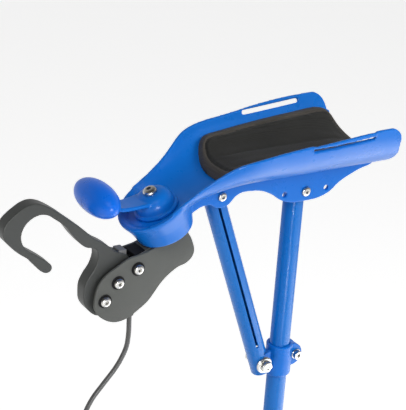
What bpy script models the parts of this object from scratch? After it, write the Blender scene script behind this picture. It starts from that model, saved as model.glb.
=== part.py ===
"""Wheeled forearm walker: a rear-open tube frame on four wheels that carries two forearm supports.

Metres, +Z up, +X forward (walking direction), +Y to the user's left. The floor is z = 0.
Each support is described in its own frame, in millimetres: x forward from the post's axis,
y from the support's middle plane towards the walker's middle, z up from the tilt pivot.
The left support mirrors the right one.
"""

import math

import bmesh
import bpy
from mathutils import Vector

for old in list(bpy.data.objects):
    bpy.data.objects.remove(old, do_unlink=True)

# ---------------------------------------------------------------- driving dimensions, millimetres
GAP = 0.3                       # between pieces that touch
SUPPORT_Y = 235.0               # middle plane of each support
PIVOT_Z = 980.0                 # tilt pivot above the floor

POST_R, POST_BORE = 11.0, 9.2
POST_TOP, POST_BOTTOM = 12.0, -600.0
SLEEVE_R, SLEEVE_BORE = 14.0, 11.3
SLEEVE_TOP, SLEEVE_FOOT = 620.0, 206.0

CHEEK_IN, CHEEK_OUT = 15.5, 19.5
TILT_BOLT_R, TILT_HEAD_R = 3.0, 5.8
STRUT_R, STRUT_BORE = 11.0, 8.8
STRUT_TOP = (103.6, 10.5)
STRUT_FOOT = (27.0, -201.0)
STRUT_FOOT_BORE = 5.5           # play for the lower bolt, where the linkage is open
COLLAR_R, COLLAR_TOP, COLLAR_LOW = 14.5, -185.0, -221.0
COLLAR_BOLT = (-17.0, -199.0)

HUB_AXIS = Vector((0.4147, 0.0, 0.9100))
HUB_TILT = math.radians(24.5)
HUB_FOOT, HUB_FOOT_R = (155.0, -23.0), 29.0
RECESS, RECESS_R = (166.0, 1.4), 29.0
RIM, RIM_R, RIM_TILT = (172.0, 10.3), 40.0, math.radians(34.0)
RIM_WALL = 3.0

EGG = (231.5, 22.3)
EGG_HALF_LENGTH, EGG_R = 35.5, 16.2

PLATE_IN, PLATE_OUT = 11.0, 14.0
LEVER_HALF = 7.3
LEVER_PIVOT = (213.2, -63.2)
PLATE_SCREWS = [(227.0, -80.0), (213.2, -63.2), (192.0, -52.5)]
FERRULE_X, FERRULE_LOW = 191.5, -108.5
CABLE_R = 2.5

RAIL_R, RAIL_BORE = 12.5, 10.5
WHEEL_R, TYRE_R_IN, WHEEL_HALF = 75.0, 59.0, 16.0
REAR_X, REAR_Y = -300.0, 292.0
CASTER_X, CASTER_Y, CASTER_TRAIL = 340.0, 205.0, 40.0
CASTER_SOCKET_R = 16.0
HOOP_R, HOOP_BORE = 11.0, 9.0
KNOB_Z = 585.0
SHOE_PIVOT = (-205.0, 0.0)      # x; z is taken from the rail

# trough: station x, half width of the top edge, height of the top edge, underside of the floor
TROUGH = [
    (-77.0, 68.9, 75.0, 20.0), (-40.0, 68.2, 73.9, 20.0), (0.0, 67.3, 70.5, 20.0), (40.0, 64.2, 65.8, 20.0),
    (60.0, 62.9, 63.4, 20.0), (75.0, 62.5, 61.6, 20.0), (88.0, 61.4, 59.5, 19.8), (98.0, 59.4, 57.3, 18.9),
    (107.0, 56.6, 54.7, 17.6), (115.0, 53.2, 50.6, 16.0), (124.0, 49.0, 44.4, 13.8), (134.0, 45.0, 37.0, 10.9),
    (146.0, 42.0, 28.2, 6.6), (159.0, 40.2, 19.0, 0.7), (172.0, 39.7, 10.3, -5.2),
]
TROUGH_WALL, TROUGH_FLOOR = 3.6, 3.9
# trough cross-section, a half pipe: share of the half width, share of the height
SECTION = [
    (0.0, 0.0), (0.213, 0.012), (0.40, 0.070), (0.58, 0.170), (0.73, 0.310), (0.84, 0.470),
    (0.92, 0.645), (0.97, 0.820), (1.0, 1.0),
]
# the same, where the trough runs into the round cup at its front
SECTION_FRONT = [
    (0.0, 0.0), (0.30, 0.0), (0.46, 0.025), (0.60, 0.09), (0.71, 0.20), (0.80, 0.35),
    (0.88, 0.54), (0.945, 0.76), (1.0, 1.0),
]

COLOURS = {
    "blue_plastic": ((0.016, 0.133, 0.610), 0.0, 0.34),
    "blue_paint": ((0.010, 0.110, 0.480), 0.0, 0.30),
    "grip_blue": ((0.010, 0.100, 0.560), 0.0, 0.45),
    "pad_foam": ((0.030, 0.032, 0.038), 0.0, 0.85),
    "dark_grey": ((0.105, 0.110, 0.100), 0.0, 0.50),
    "lever_grey": ((0.068, 0.072, 0.070), 0.0, 0.45),
    "steel": ((0.560, 0.560, 0.550), 1.0, 0.28),
    "cable_black": ((0.035, 0.035, 0.035), 0.0, 0.45),
    "tyre_grey": ((0.075, 0.075, 0.078), 0.0, 0.75),
    "rim_grey": ((0.300, 0.310, 0.320), 0.0, 0.50),
    "knob_black": ((0.020, 0.020, 0.021), 0.0, 0.50),
}
MATERIALS = {}
for label, (colour, metal, rough) in COLOURS.items():
    made = bpy.data.materials.new(label)
    made.use_nodes = True
    shader = made.node_tree.nodes["Principled BSDF"]
    shader.inputs["Base Color"].default_value = (*colour, 1.0)
    shader.inputs["Metallic"].default_value = metal
    shader.inputs["Roughness"].default_value = rough
    MATERIALS[label] = made


# ---------------------------------------------------------------- modelling helpers
def to_mesh_object(name, points, faces):
    """A closed body from points in millimetres, with its faces turned outwards."""
    data = bpy.data.meshes.new(name)
    data.from_pydata([tuple(c * 0.001 for c in p) for p in points], [], faces)
    form = bmesh.new()
    form.from_mesh(data)
    bmesh.ops.remove_doubles(form, verts=form.verts, dist=1e-6)
    bmesh.ops.recalc_face_normals(form, faces=form.faces)
    if form.calc_volume(signed=True) < 0:
        bmesh.ops.reverse_faces(form, faces=form.faces)
    form.to_mesh(data)
    form.free()
    obj = bpy.data.objects.new(name, data)
    bpy.context.scene.collection.objects.link(obj)
    return obj


def loft(name, rings):
    """Skins closed rings that all have the same number of points, and caps both ends."""
    n = len(rings[0])
    points = [p for ring in rings for p in ring]
    faces = []
    for i in range(len(rings) - 1):
        for j in range(n):
            k = (j + 1) % n
            faces.append((i * n + j, i * n + k, (i + 1) * n + k, (i + 1) * n + j))
    faces.append(tuple(range(n)))
    faces.append(tuple(range((len(rings) - 1) * n, len(rings) * n)))
    return to_mesh_object(name, points, faces)


def ring_loop(name, rings):
    """Skins rings that close back on the first one: a body with a hole through it."""
    n, m = len(rings[0]), len(rings)
    points = [p for ring in rings for p in ring]
    faces = []
    for i in range(m):
        a, b = i * n, ((i + 1) % m) * n
        for j in range(n):
            k = (j + 1) % n
            faces.append((a + j, a + k, b + k, b + j))
    return to_mesh_object(name, points, faces)


def circle_points(centre, u, v, radius, count, start=0.0):
    c, u, v = Vector(centre), Vector(u), Vector(v)
    return [
        tuple(c + radius * (math.cos(start + 2 * math.pi * i / count) * u + math.sin(start + 2 * math.pi * i / count) * v))
        for i in range(count)
    ]


def axes_across(direction):
    d = Vector(direction).normalized()
    side = Vector((0, 1, 0)) if abs(d.y) < 0.9 else Vector((1, 0, 0))
    u = side.cross(d).normalized()
    return d, u, d.cross(u).normalized()


def rod(name, start, end, radius, count=12, radius_end=None):
    start, end = Vector(start), Vector(end)
    _, u, v = axes_across(end - start)
    return loft(name, [
        circle_points(start, u, v, radius, count),
        circle_points(end, u, v, radius if radius_end is None else radius_end, count),
    ])


def turned(name, origin, direction, profile, count=16):
    """A solid of revolution: profile is (distance along the axis, radius), from one end to the other."""
    d, u, v = axes_across(direction)
    base = Vector(origin)
    return loft(name, [circle_points(base + d * along, u, v, radius, count) for along, radius in profile])


def turned_ring(name, origin, direction, profile, count=16):
    """A ring of revolution: profile is a closed loop of (distance along the axis, radius)."""
    d, u, v = axes_across(direction)
    base = Vector(origin)
    return ring_loop(name, [circle_points(base + d * along, u, v, radius, count) for along, radius in profile])


def slab(name, outline, y0, y1):
    """A plate: an outline in the xz plane, from y0 to y1."""
    return loft(name, [[(x, y0, z) for x, z in outline], [(x, y1, z) for x, z in outline]])


def smooth_line(points, count, closed=False):
    """Points along a centripetal curve through the given ones, evenly spaced by length."""
    pts = [Vector(p) for p in points]
    fine = []
    for i in range(len(pts) - 1):
        p0 = pts[i - 1] if i > 0 else pts[i] * 2 - pts[i + 1]
        p1, p2 = pts[i], pts[i + 1]
        p3 = pts[i + 2] if i + 2 < len(pts) else pts[i + 1] * 2 - pts[i]
        t0 = 0.0
        t1 = t0 + max((p1 - p0).length, 1e-6) ** 0.5
        t2 = t1 + max((p2 - p1).length, 1e-6) ** 0.5
        t3 = t2 + max((p3 - p2).length, 1e-6) ** 0.5
        for s in range(24):
            t = t1 + (t2 - t1) * s / 24
            a1 = p0 * ((t1 - t) / (t1 - t0)) + p1 * ((t - t0) / (t1 - t0))
            a2 = p1 * ((t2 - t) / (t2 - t1)) + p2 * ((t - t1) / (t2 - t1))
            a3 = p2 * ((t3 - t) / (t3 - t2)) + p3 * ((t - t2) / (t3 - t2))
            b1 = a1 * ((t2 - t) / (t2 - t0)) + a2 * ((t - t0) / (t2 - t0))
            b2 = a2 * ((t3 - t) / (t3 - t1)) + a3 * ((t - t1) / (t3 - t1))
            fine.append(b1 * ((t2 - t) / (t2 - t1)) + b2 * ((t - t1) / (t2 - t1)))
    fine.append(pts[-1])
    lengths = [0.0]
    for a, b in zip(fine, fine[1:]):
        lengths.append(lengths[-1] + (b - a).length)
    out = []
    j = 0
    for i in range(count):
        want = lengths[-1] * i / (count - 1)
        while j < len(fine) - 2 and lengths[j + 1] < want:
            j += 1
        span = lengths[j + 1] - lengths[j]
        out.append(fine[j].lerp(fine[j + 1], 0.0 if span == 0 else (want - lengths[j]) / span))
    return out


def pipe(name, line, radius, count=12):
    """A round bar along a line of points, with flat ends."""
    line = [Vector(p) for p in line]
    rings = []
    u = None
    for i, p in enumerate(line):
        ahead = (line[min(i + 1, len(line) - 1)] - line[max(i - 1, 0)]).normalized()
        if u is None:
            _, u, _ = axes_across(ahead)
        u = (u - ahead * u.dot(ahead)).normalized()
        v = ahead.cross(u)
        rings.append(circle_points(p, u, v, radius, count))
    return loft(name, rings)


def combine(obj, other, how):
    """Joins, cuts or keeps the overlap of two closed bodies, and drops the second one."""
    other.hide_render = True
    other.display_type = "WIRE"
    step = obj.modifiers.new(how.lower(), "BOOLEAN")
    step.operation = how
    step.solver = "EXACT"
    step.object = other
    bpy.context.view_layer.update()
    graph = bpy.context.evaluated_depsgraph_get()
    made = bpy.data.meshes.new_from_object(obj.evaluated_get(graph))
    obj.modifiers.clear()
    old = obj.data
    obj.data = made
    bpy.data.meshes.remove(old)
    bpy.data.objects.remove(other, do_unlink=True)
    form = bmesh.new()
    form.from_mesh(obj.data)
    bmesh.ops.remove_doubles(form, verts=form.verts, dist=2e-6)
    bmesh.ops.dissolve_degenerate(form, edges=form.edges, dist=1e-6)
    form.to_mesh(obj.data)
    form.free()
    return obj


def join(obj, *others):
    for other in others:
        combine(obj, other, "UNION")
    return obj


def cut(obj, *others):
    for other in others:
        combine(obj, other, "DIFFERENCE")
    return obj


def place(obj, material, origin, smooth=True):
    """Gives the piece its material and puts its origin where it turns or sits, in millimetres."""
    shift = Vector(origin) * 0.001
    for vertex in obj.data.vertices:
        vertex.co -= shift
    obj.location = shift
    obj.data.materials.clear()
    obj.data.materials.append(MATERIALS[material])
    if smooth:
        for polygon in obj.data.polygons:
            polygon.use_smooth = True
        obj.data.set_sharp_from_angle(angle=math.radians(38))
    return obj


def mirrored(obj, name):
    """The left side's copy of a right-side piece."""
    data = obj.data.copy()
    data.name = name
    for vertex in data.vertices:
        vertex.co.y = -vertex.co.y
    data.flip_normals()
    twin = bpy.data.objects.new(name, data)
    twin.location = (obj.location.x, -obj.location.y, obj.location.z)
    bpy.context.scene.collection.objects.link(twin)
    return twin


def W(x, y, z):
    """A point of the right support's frame in the walker's frame, both in millimetres."""
    return (x, y - SUPPORT_Y, z + PIVOT_Z)


def move_to_support(obj):
    for vertex in obj.data.vertices:
        vertex.co += Vector((0.0, -SUPPORT_Y, PIVOT_Z)) * 0.001
    return obj


RIGHT = []   # (object, base name) of the right side, to be mirrored


def right_piece(obj, base, material, origin, smooth=True):
    place(obj, material, origin, smooth)
    obj.name = base + "_r"
    obj.data.name = base + "_r"
    RIGHT.append((obj, base))


def support_piece(obj, base, material, origin, smooth=True):
    right_piece(move_to_support(obj), base, material, W(*origin), smooth)


# ---------------------------------------------------------------- forearm trough with its cheeks and hub cup
def trough_at(x):
    rows = TROUGH
    for a, b in zip(rows, rows[1:]):
        if x <= b[0]:
            t = (x - a[0]) / (b[0] - a[0])
            return tuple(a[i] + (b[i] - a[i]) * t for i in range(1, 4))
    return rows[-1][1:]


def trough_ring(x, inset, floor_up, lift):
    """One cross-section, closed along the top; inset and floor_up take it inside the shell."""
    w, e, f = trough_at(x)
    w, f = w - inset, f + floor_up
    t = min(max((x - 88.0) / (172.0 - 88.0), 0.0), 1.0)
    half = [(w * (a[0] + (b[0] - a[0]) * t), f + (e - f) * (a[1] + (b[1] - a[1]) * t)) for a, b in zip(SECTION, SECTION_FRONT)]
    if lift:
        half.append((w, e + lift))
    left = [(x, y, z) for y, z in half]
    right = [(x, -y, z) for y, z in reversed(half[1:])]
    return left + right


def rear_sweep(z):
    """How far the rear end reaches back at this height: the floor ends behind the tops of the walls."""
    rows = [(20.0, 14.6), (30.0, 13.8), (37.0, 12.4), (42.0, 10.8), (47.5, 8.2), (54.5, 4.3), (90.0, 4.3)]
    for a, b in zip(rows, rows[1:]):
        if z <= b[0]:
            return a[1] + (b[1] - a[1]) * (max(z, a[0]) - a[0]) / (b[0] - a[0])
    return rows[-1][1]


stations = [row[0] for row in TROUGH]
rear_ring = [(x - rear_sweep(z), y, z) for x, y, z in trough_ring(stations[0], 0, 0, 0)]
trough = loft("trough", [rear_ring] + [trough_ring(x, 0, 0, 0) for x in stations[1:]])

rim_u = (math.cos(RIM_TILT), 0, -math.sin(RIM_TILT))
rim_up = Vector((math.sin(RIM_TILT), 0, math.cos(RIM_TILT)))
hub_u = (math.cos(HUB_TILT), 0, -math.sin(HUB_TILT))
Y = (0, 1, 0)
SEG = 24


def ring_between(t, r):
    """A ring between the hub's foot (t = 0) and the cup's rim (t = 1)."""
    tilt = HUB_TILT + (RIM_TILT - HUB_TILT) * t
    c = (HUB_FOOT[0] + (RIM[0] - HUB_FOOT[0]) * t, 0, HUB_FOOT[1] + (RIM[1] - HUB_FOOT[1]) * t)
    return circle_points(c, (math.cos(tilt), 0, -math.sin(tilt)), Y, r, SEG)


cup = loft("cup", [
    circle_points((HUB_FOOT[0], 0, HUB_FOOT[1]), hub_u, Y, HUB_FOOT_R - 1.2, SEG),
    circle_points((HUB_FOOT[0] + 0.5, 0, HUB_FOOT[1] + 1.1), hub_u, Y, HUB_FOOT_R, SEG),
    ring_between(0.45, 32.6), ring_between(0.75, 36.8), ring_between(0.93, 39.6), ring_between(1.0, RIM_R),
])
cheeks = []
CHEEK = [
    (-78.0, 22.5), (-78.0, 16.2), (-70.2, 14.4), (-62.4, 11.8), (-54.7, 8.8), (-47.2, 5.4), (-40.5, 1.4),
    (-33.5, -4.2), (-25.1, -8.2), (-16.0, -10.3), (-6.0, -11.0), (6.0, -11.0), (16.0, -10.3), (25.1, -8.0),
    (32.5, -4.4), (39.5, 0.6), (46.0, 4.4), (54.0, 7.9), (62.0, 9.8), (72.0, 10.6), (81.0, 10.3), (88.6, 6.5),
    (92.6, 2.0), (97.5, -0.9), (103.6, -2.0), (110.0, -0.6), (115.5, 3.0), (122.0, 3.6), (129.0, 2.0), (137.0, -2.0),
    (146.0, 6.0), (132.0, 15.0), (112.0, 19.5), (90.0, 22.5),
]
for side in (1, -1):
    cheek = slab("cheek", CHEEK, side * CHEEK_IN, side * CHEEK_OUT)
    cheeks.append(cheek)
join(trough, cup, *cheeks)
inner = loft("inner", [
    trough_ring(x, TROUGH_WALL, TROUGH_FLOOR, 30.0) for x in [-110.0] + stations[1:]
])
cut(trough, inner)
inner_cup = loft("inner_cup", [
    circle_points((RECESS[0], 0, RECESS[1]), hub_u, Y, RECESS_R, SEG),
    circle_points((RECESS[0] + (RIM[0] - RECESS[0]) * 0.55, 0, RECESS[1] + (RIM[1] - RECESS[1]) * 0.55),
                  (math.cos(math.radians(29.5)), 0, -math.sin(math.radians(29.5))), Y, RECESS_R + 4.2, SEG),
    circle_points((RIM[0], 0, RIM[1]), rim_u, Y, RIM_R - RIM_WALL, SEG),
    circle_points(tuple(Vector((RIM[0], 0, RIM[1])) + rim_up * 34), rim_u, Y, RIM_R - RIM_WALL + 1.5, SEG),
])
cut(trough, inner_cup)
# rounded upper rear corners of both walls
corner = [(-120.0, 110.0), (-120.0, 54.5), (-81.3, 54.5)]
for i in range(1, 8):
    a = math.pi - (math.pi / 2) * i / 8
    corner.append((-60.6 + 20.7 * math.cos(a), 54.5 + 20.7 * math.sin(a)))
corner += [(-60.6, 75.2), (-60.6, 110.0)]
cut(trough, slab("rear_corner", corner, -90, 90))
# strap slots through both walls
slot_line = [(27.5, 61.2), (4.8, 63.3), (-18.0, 65.4), (-41.0, 67.3)]
slot_half = 2.7
top = [(x, z + slot_half) for x, z in slot_line]
low = [(x, z - slot_half) for x, z in reversed(slot_line)]
slot = [(28.9, 63.5), (30.1, 61.2), (28.9, 58.9)]
outline = [(slot_line[0][0], slot_line[0][1] + slot_half)] + [(29.4, 63.0), (30.2, 61.1), (29.4, 59.3)] + \
    [(slot_line[0][0], slot_line[0][1] - slot_half)] + [(x, z - slot_half) for x, z in slot_line[1:]] + \
    [(-43.0, 65.6), (-43.8, 67.4), (-43.0, 69.2)] + [(x, z + slot_half) for x, z in reversed(slot_line[1:])]
for side in (1, -1):
    cut(trough, slab("strap_slot", outline, side * 50, side * 80))
# pivot bores, spare holes in the cheeks, and the bore of the hub
cut(trough,
    rod("bore", (0, -30, 0), (0, 30, 0), TILT_BOLT_R + GAP, 12),
    rod("bore", (STRUT_TOP[0], -30, STRUT_TOP[1]), (STRUT_TOP[0], 30, STRUT_TOP[1]), TILT_BOLT_R + GAP, 12),
    rod("hole", (26.5, -30, 0), (26.5, 30, 0), 2.8, 12),
    rod("hole", (-26.5, -30, 0), (-26.5, 30, 0), 2.8, 12))
hub_low = Vector((HUB_FOOT[0], 0, HUB_FOOT[1])) - HUB_AXIS * 5
hub_high = Vector((RECESS[0], 0, RECESS[1])) + HUB_AXIS * 12
cut(trough, rod("hub_bore", hub_low, hub_high, 4.0 + GAP, 12))
support_piece(trough, "trough", "blue_plastic", (0, 0, 0))

# ---------------------------------------------------------------- forearm pad
# station x, share of the thickness, share of the rear end's backward sweep, share of the front end's rounding
PAD_X = [(-79.0, 0.6, 1.0, 0.0), (-74.0, 1.0, 1.0, 0.0), (-43.0, 1.0, 0.0, 0.0), (-16.0, 1.0, 0.0, 0.0),
         (16.0, 1.0, 0.0, 0.0), (48.0, 1.0, 0.0, 0.0), (93.0, 1.0, 0.0, 0.9), (104.0, 0.6, 0.0, 1.0)]


def pad_edge(x):
    rows = [(-80.0, 56.5), (-74.0, 57.8), (-60.0, 59.9), (-43.0, 58.7), (-16.0, 56.8), (22.0, 54.0), (45.0, 52.2),
            (60.0, 50.6), (77.0, 48.7), (88.0, 46.8), (104.0, 44.0)]
    for a, b in zip(rows, rows[1:]):
        if x <= b[0]:
            return a[1] + (b[1] - a[1]) * (x - a[0]) / (b[0] - a[0])
    return rows[-1][1]


def pad_ring(x, full, swept, round_front):
    """One cross-section of the pad: along the trough's inside, then back over its upholstered face."""
    w, e, f = trough_at(x)
    w, f = w - TROUGH_WALL - GAP, f + TROUGH_FLOOR + GAP
    top_z = pad_edge(x)
    outer = []
    for u, v in SECTION:
        y, z = w * u, f + (e - f) * v
        if z > top_z - 3.5:
            break
        outer.append((y, z))
    shares = [i / 6 for i in range(7)]
    # resample so that every station has the same count
    lengths = [0.0]
    for a, b in zip(outer, outer[1:]):
        lengths.append(lengths[-1] + math.dist(a, b))
    # finish on the wall just under the pad's upper edge
    v_end = (top_z - 3.0 - f) / (e - f)
    y_end = w * next(a[0] + (b[0] - a[0]) * (v_end - a[1]) / (b[1] - a[1]) for a, b in zip(SECTION[1:], SECTION[2:]) if v_end <= b[1]) - 0.2
    outer.append((y_end, top_z - 3.0))
    lengths.append(lengths[-1] + math.dist(outer[-2], outer[-1]))
    picked = []
    for s in shares:
        want = s * lengths[-1]
        for i in range(len(lengths) - 1):
            if want <= lengths[i + 1] + 1e-9:
                t = (want - lengths[i]) / max(lengths[i + 1] - lengths[i], 1e-9)
                picked.append((outer[i][0] + (outer[i + 1][0] - outer[i][0]) * t,
                               outer[i][1] + (outer[i + 1][1] - outer[i][1]) * t))
                break
    thick = 14.2 * full

    def inward(share, depth, up=0.0):
        want = share * lengths[-1]
        for i in range(len(lengths) - 1):
            if want <= lengths[i + 1] + 1e-9:
                step = lengths[i + 1] - lengths[i]
                ty, tz = (outer[i + 1][0] - outer[i][0]) / step, (outer[i + 1][1] - outer[i][1]) / step
                d = want - lengths[i]
                return (outer[i][0] + ty * (d + up) - tz * depth, outer[i][1] + tz * (d + up) + ty * depth)

    face = [inward(1.0, 3.6, 2.6), inward(0.97, 8.6 * full), inward(0.80, thick * 0.88), inward(0.56, thick * 0.97),
            inward(0.28, thick), (0.0, f + thick)]
    loop = picked + face
    out = []
    for y, z in loop:
        share = min(max((z - f) / (top_z - f), 0.0), 1.0)
        # the rear end follows the trough's, the front end is rounded towards both edges
        at = x - swept * min(max((60.0 - z) * 0.36, 0.0), 9.0) - round_front * 16.0 * share ** 1.5
        if round_front:
            here, there = trough_at(at), trough_at(x)
            y = y * (here[0] - TROUGH_WALL - GAP) / (there[0] - TROUGH_WALL - GAP)
            z = z + max(here[2], 19.4) - there[2] + 0.6
        out.append((at, y, z))
    return out + [(px, -y, z) for px, y, z in reversed(out[1:-1])]


pad = loft("pad", [pad_ring(*row) for row in PAD_X])
support_piece(pad, "pad", "pad_foam", (0, 0, 24))

# ---------------------------------------------------------------- bolts of the trough
def bolt(name, centre, y_near, y_far, radius, head_r, head_t, nut_r, nut_t, count=12):
    """A bolt across the support: a domed head on the near side, its shank, and a nut on the far side."""
    x, z = centre
    return turned(name, (x, 0, z), (0, 1, 0), [
        (y_far - nut_t, nut_r * 0.86), (y_far, nut_r), (y_far, radius), (y_near, radius),
        (y_near, head_r), (y_near + head_t * 0.6, head_r * 0.94), (y_near + head_t, head_r * 0.62),
    ], count)


support_piece(bolt("b", (0, 0), CHEEK_OUT + GAP, -CHEEK_OUT - GAP, TILT_BOLT_R, TILT_HEAD_R, 2.4, TILT_HEAD_R, 2.4),
              "trough_pivot_bolt", "steel", (0, 0, 0))
support_piece(bolt("b", STRUT_TOP, CHEEK_OUT + GAP, -CHEEK_OUT - GAP, TILT_BOLT_R, 4.8, 2.4, 4.8, 2.4),
              "strut_top_bolt", "steel", (STRUT_TOP[0], 0, STRUT_TOP[1]))

# ---------------------------------------------------------------- post
post = turned_ring("post", (0, 0, 0), (0, 0, 1), [
    (POST_BOTTOM, POST_R), (POST_TOP - 1.0, POST_R), (POST_TOP, POST_R - 1.0), (POST_TOP, POST_BORE), (POST_BOTTOM, POST_BORE)], 18)
cut(post, rod("bore", (0, -20, 0), (0, 20, 0), TILT_BOLT_R + GAP, 12))
support_piece(post, "post", "blue_paint", (0, 0, 0))

# ---------------------------------------------------------------- strut: a slit tube
sx, sz = STRUT_TOP[0] - STRUT_FOOT[0], STRUT_TOP[1] - STRUT_FOOT[1]
strut_len = math.hypot(sx, sz)
along = Vector((sx / strut_len, 0, sz / strut_len))
front = Vector((along.z, 0, -along.x))
foot = Vector((STRUT_FOOT[0], 0, STRUT_FOOT[1]))
end_low, end_high = foot - along * 13.5, foot + along * (strut_len + 11.5)
strut = turned_ring("strut", end_low, along, [
    (0.0, STRUT_R - 1.5), (1.5, STRUT_R), (strut_len + 25.0 - 3.0, STRUT_R), (strut_len + 25.0, STRUT_R - 2.0),
    (strut_len + 25.0, STRUT_BORE - 0.6), (0.0, STRUT_BORE)], 18)


def oriented_box(name, centre, a, b, c, ha, hb, hc):
    a, b, c, m = Vector(a), Vector(b), Vector(c), Vector(centre)
    corners = [[tuple(m + a * (ha * i) + b * (hb * j) + c * (hc * k)) for i, j in ((-1, -1), (1, -1), (1, 1), (-1, 1))] for k in (-1, 1)]
    return loft(name, corners)


# the slit runs down the tube's inner side
slit_dir = (Vector((0, 1, 0)) * 0.985 + front * 0.174).normalized()
slit_side = along.cross(slit_dir)
cut(strut, oriented_box("slit", foot + along * 138.0 + slit_dir * STRUT_R, along, slit_dir, slit_side, 120.0, 6.0, 1.3))
# the lower rear half is open for the collar's lug, the upper end opens under the trough's floor
cut(strut, oriented_box("mouth", foot - front * (STRUT_R + 3.5) - along * 4, along, front, (0, 1, 0), 17.0, STRUT_R, 20))
cut(strut, rod("bore", foot - Vector((0, 30, 0)), foot + Vector((0, 30, 0)), STRUT_FOOT_BORE, 12))
top_pin = Vector((STRUT_TOP[0], 0, STRUT_TOP[1]))
cut(strut, rod("bore", top_pin - Vector((0, 30, 0)), top_pin + Vector((0, 30, 0)), TILT_BOLT_R + GAP, 12))
# the tube's top is cut back along the floor of the trough, so that it clears it when it tilts
cut(strut, slab("head_room", [(70.0, 17.0), (92.0, 16.4), (104.0, 14.8), (118.0, 11.2), (135.0, 6.0), (135.0, 60.0), (70.0, 60.0)], -30, 30))
support_piece(strut, "strut", "blue_paint", (STRUT_TOP[0], 0, STRUT_TOP[1]))

# ---------------------------------------------------------------- collar on the post
collar = turned("collar", (0, 0, 0), (0, 0, 1), [
    (COLLAR_LOW, COLLAR_R - 0.8), (COLLAR_LOW + 0.8, COLLAR_R), (COLLAR_TOP - 0.8, COLLAR_R), (COLLAR_TOP, COLLAR_R - 0.8)], 20)
ear = []
for i in range(9):
    a = math.pi / 2 + math.pi * i / 8
    ear.append((-12.5 + 12.5 * math.cos(a), -199.0 + 13.0 * math.sin(a)))
ear += [(-4.0, -212.0), (-4.0, -186.0)]
lug = [(8.0, -191.0), (14.5, -191.0)]
for i in range(7):
    a = math.pi / 2 - math.pi * i / 6
    lug.append((27.0 + 6.2 * math.cos(a), -201.0 + 6.2 * math.sin(a)))
lug += [(14.5, -213.5), (8.0, -213.5)]
join(collar, slab("ears", ear, -9.0, 9.0), slab("lug", lug, -4.2, 4.2))
cut(collar,
    rod("bore", (0, 0, -240), (0, 0, -160), POST_R + GAP, 20),
    slab("split", [(-40, -160), (-40, -240), (0, -240), (0, -160)], -1.6, 1.6),
    rod("pin", (27, -20, -201), (27, 20, -201), 4.0 + GAP, 12),
    rod("clamp", (COLLAR_BOLT[0], -20, COLLAR_BOLT[1]), (COLLAR_BOLT[0], 20, COLLAR_BOLT[1]), 3.0 + GAP, 10))
support_piece(collar, "collar", "blue_paint", (0, 0, -203))
clamp_bolt = turned("b", (COLLAR_BOLT[0], 0, COLLAR_BOLT[1]), (0, 1, 0), [
    (-14.5, 5.2), (-9.3, 5.4), (-9.3, 3.0), (9.3, 3.0), (9.3, 5.0), (15.0, 4.8)], 12)
cut(clamp_bolt, rod("hex", (COLLAR_BOLT[0], 12.0, COLLAR_BOLT[1]), (COLLAR_BOLT[0], 20, COLLAR_BOLT[1]), 2.9, 6))
support_piece(clamp_bolt, "collar_clamp_bolt", "steel", (COLLAR_BOLT[0], 0, COLLAR_BOLT[1]))
pivot_bolt = turned("b", (27, 0, -201), (0, 1, 0), [
    (-16.6, 6.6), (-11.3, 7.2), (-11.3, 4.0), (11.3, 4.0), (11.3, 9.5), (13.0, 9.2), (13.4, 6.9), (18.6, 6.6)], 12)
support_piece(pivot_bolt, "strut_pivot_bolt", "steel", (27, 0, -201))

# ---------------------------------------------------------------- swivelling hand grip
base = Vector((RECESS[0], 0, RECESS[1])) + HUB_AXIS * GAP
arm = turned("arm", base, HUB_AXIS, [
    (0.0, 22.6), (3.0, 22.4), (3.2, 20.0), (8.0, 19.4), (13.0, 17.0), (17.0, 12.8), (18.9, 8.4)], 24)


def arm_ring(x, half, low, high):
    r = 1.4
    return [(x, half - r, high), (x, half, high - r), (x, half, low + r), (x, half - r, low),
            (x, -half + r, low), (x, -half, low + r), (x, -half, high - r), (x, -half + r, high)]


tongue = loft("tongue", [
    arm_ring(166.0, 12.0, 10.5, 15.8), arm_ring(176.0, 14.0, 9.6, 14.6), arm_ring(186.0, 13.4, 8.6, 13.0), arm_ring(205.0, 11.7, 7.6, 11.6),
    arm_ring(213.0, 11.0, 8.6, 12.8), arm_ring(219.0, 8.0, 10.2, 15.6), arm_ring(234.0, 8.0, 10.2, 15.6)])
join(arm, tongue)
cut(arm, rod("bore", base - HUB_AXIS * 5, base + HUB_AXIS * 40, 4.0 + GAP, 12))
support_piece(arm, "handle_arm", "blue_plastic", (RECESS[0], 0, RECESS[1]))

egg_profile = []
for i in range(1, 10):
    t = -math.cos(math.pi * i / 10)
    egg_profile.append((t * EGG_HALF_LENGTH, EGG_R * (1 - abs(t) ** 2.15) ** 0.5))
egg_profile = [(-EGG_HALF_LENGTH, 1.2)] + egg_profile + [(EGG_HALF_LENGTH, 1.2)]
egg = turned("egg", (EGG[0], 0, EGG[1]), (0, 1, 0), egg_profile, 20)
cut(egg, loft("slot", [
    arm_ring(190.0, 8.0 + GAP, 10.2 - GAP, 15.6 + GAP), arm_ring(234.0 + GAP, 8.0 + GAP, 10.2 - GAP, 15.6 + GAP)]))
cut(egg, loft("relief", [arm_ring(190.0, 14.0, 6.0, 17.0), arm_ring(219.3, 14.0, 6.0, 17.0)]))
support_piece(egg, "egg_grip", "grip_blue", (EGG[0], 0, EGG[1]))

seat = base + HUB_AXIS * 18.9
screw = turned("screw", seat, HUB_AXIS, [
    (-40.0, 4.0), (GAP, 4.0), (GAP, 7.0), (1.8, 6.9), (3.9, 5.4), (4.9, 3.4)], 14)
cut(screw, rod("hex", seat + HUB_AXIS * 2.4, seat + HUB_AXIS * 9, 2.5, 6))
support_piece(screw, "handle_screw", "steel", tuple(seat))

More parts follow.
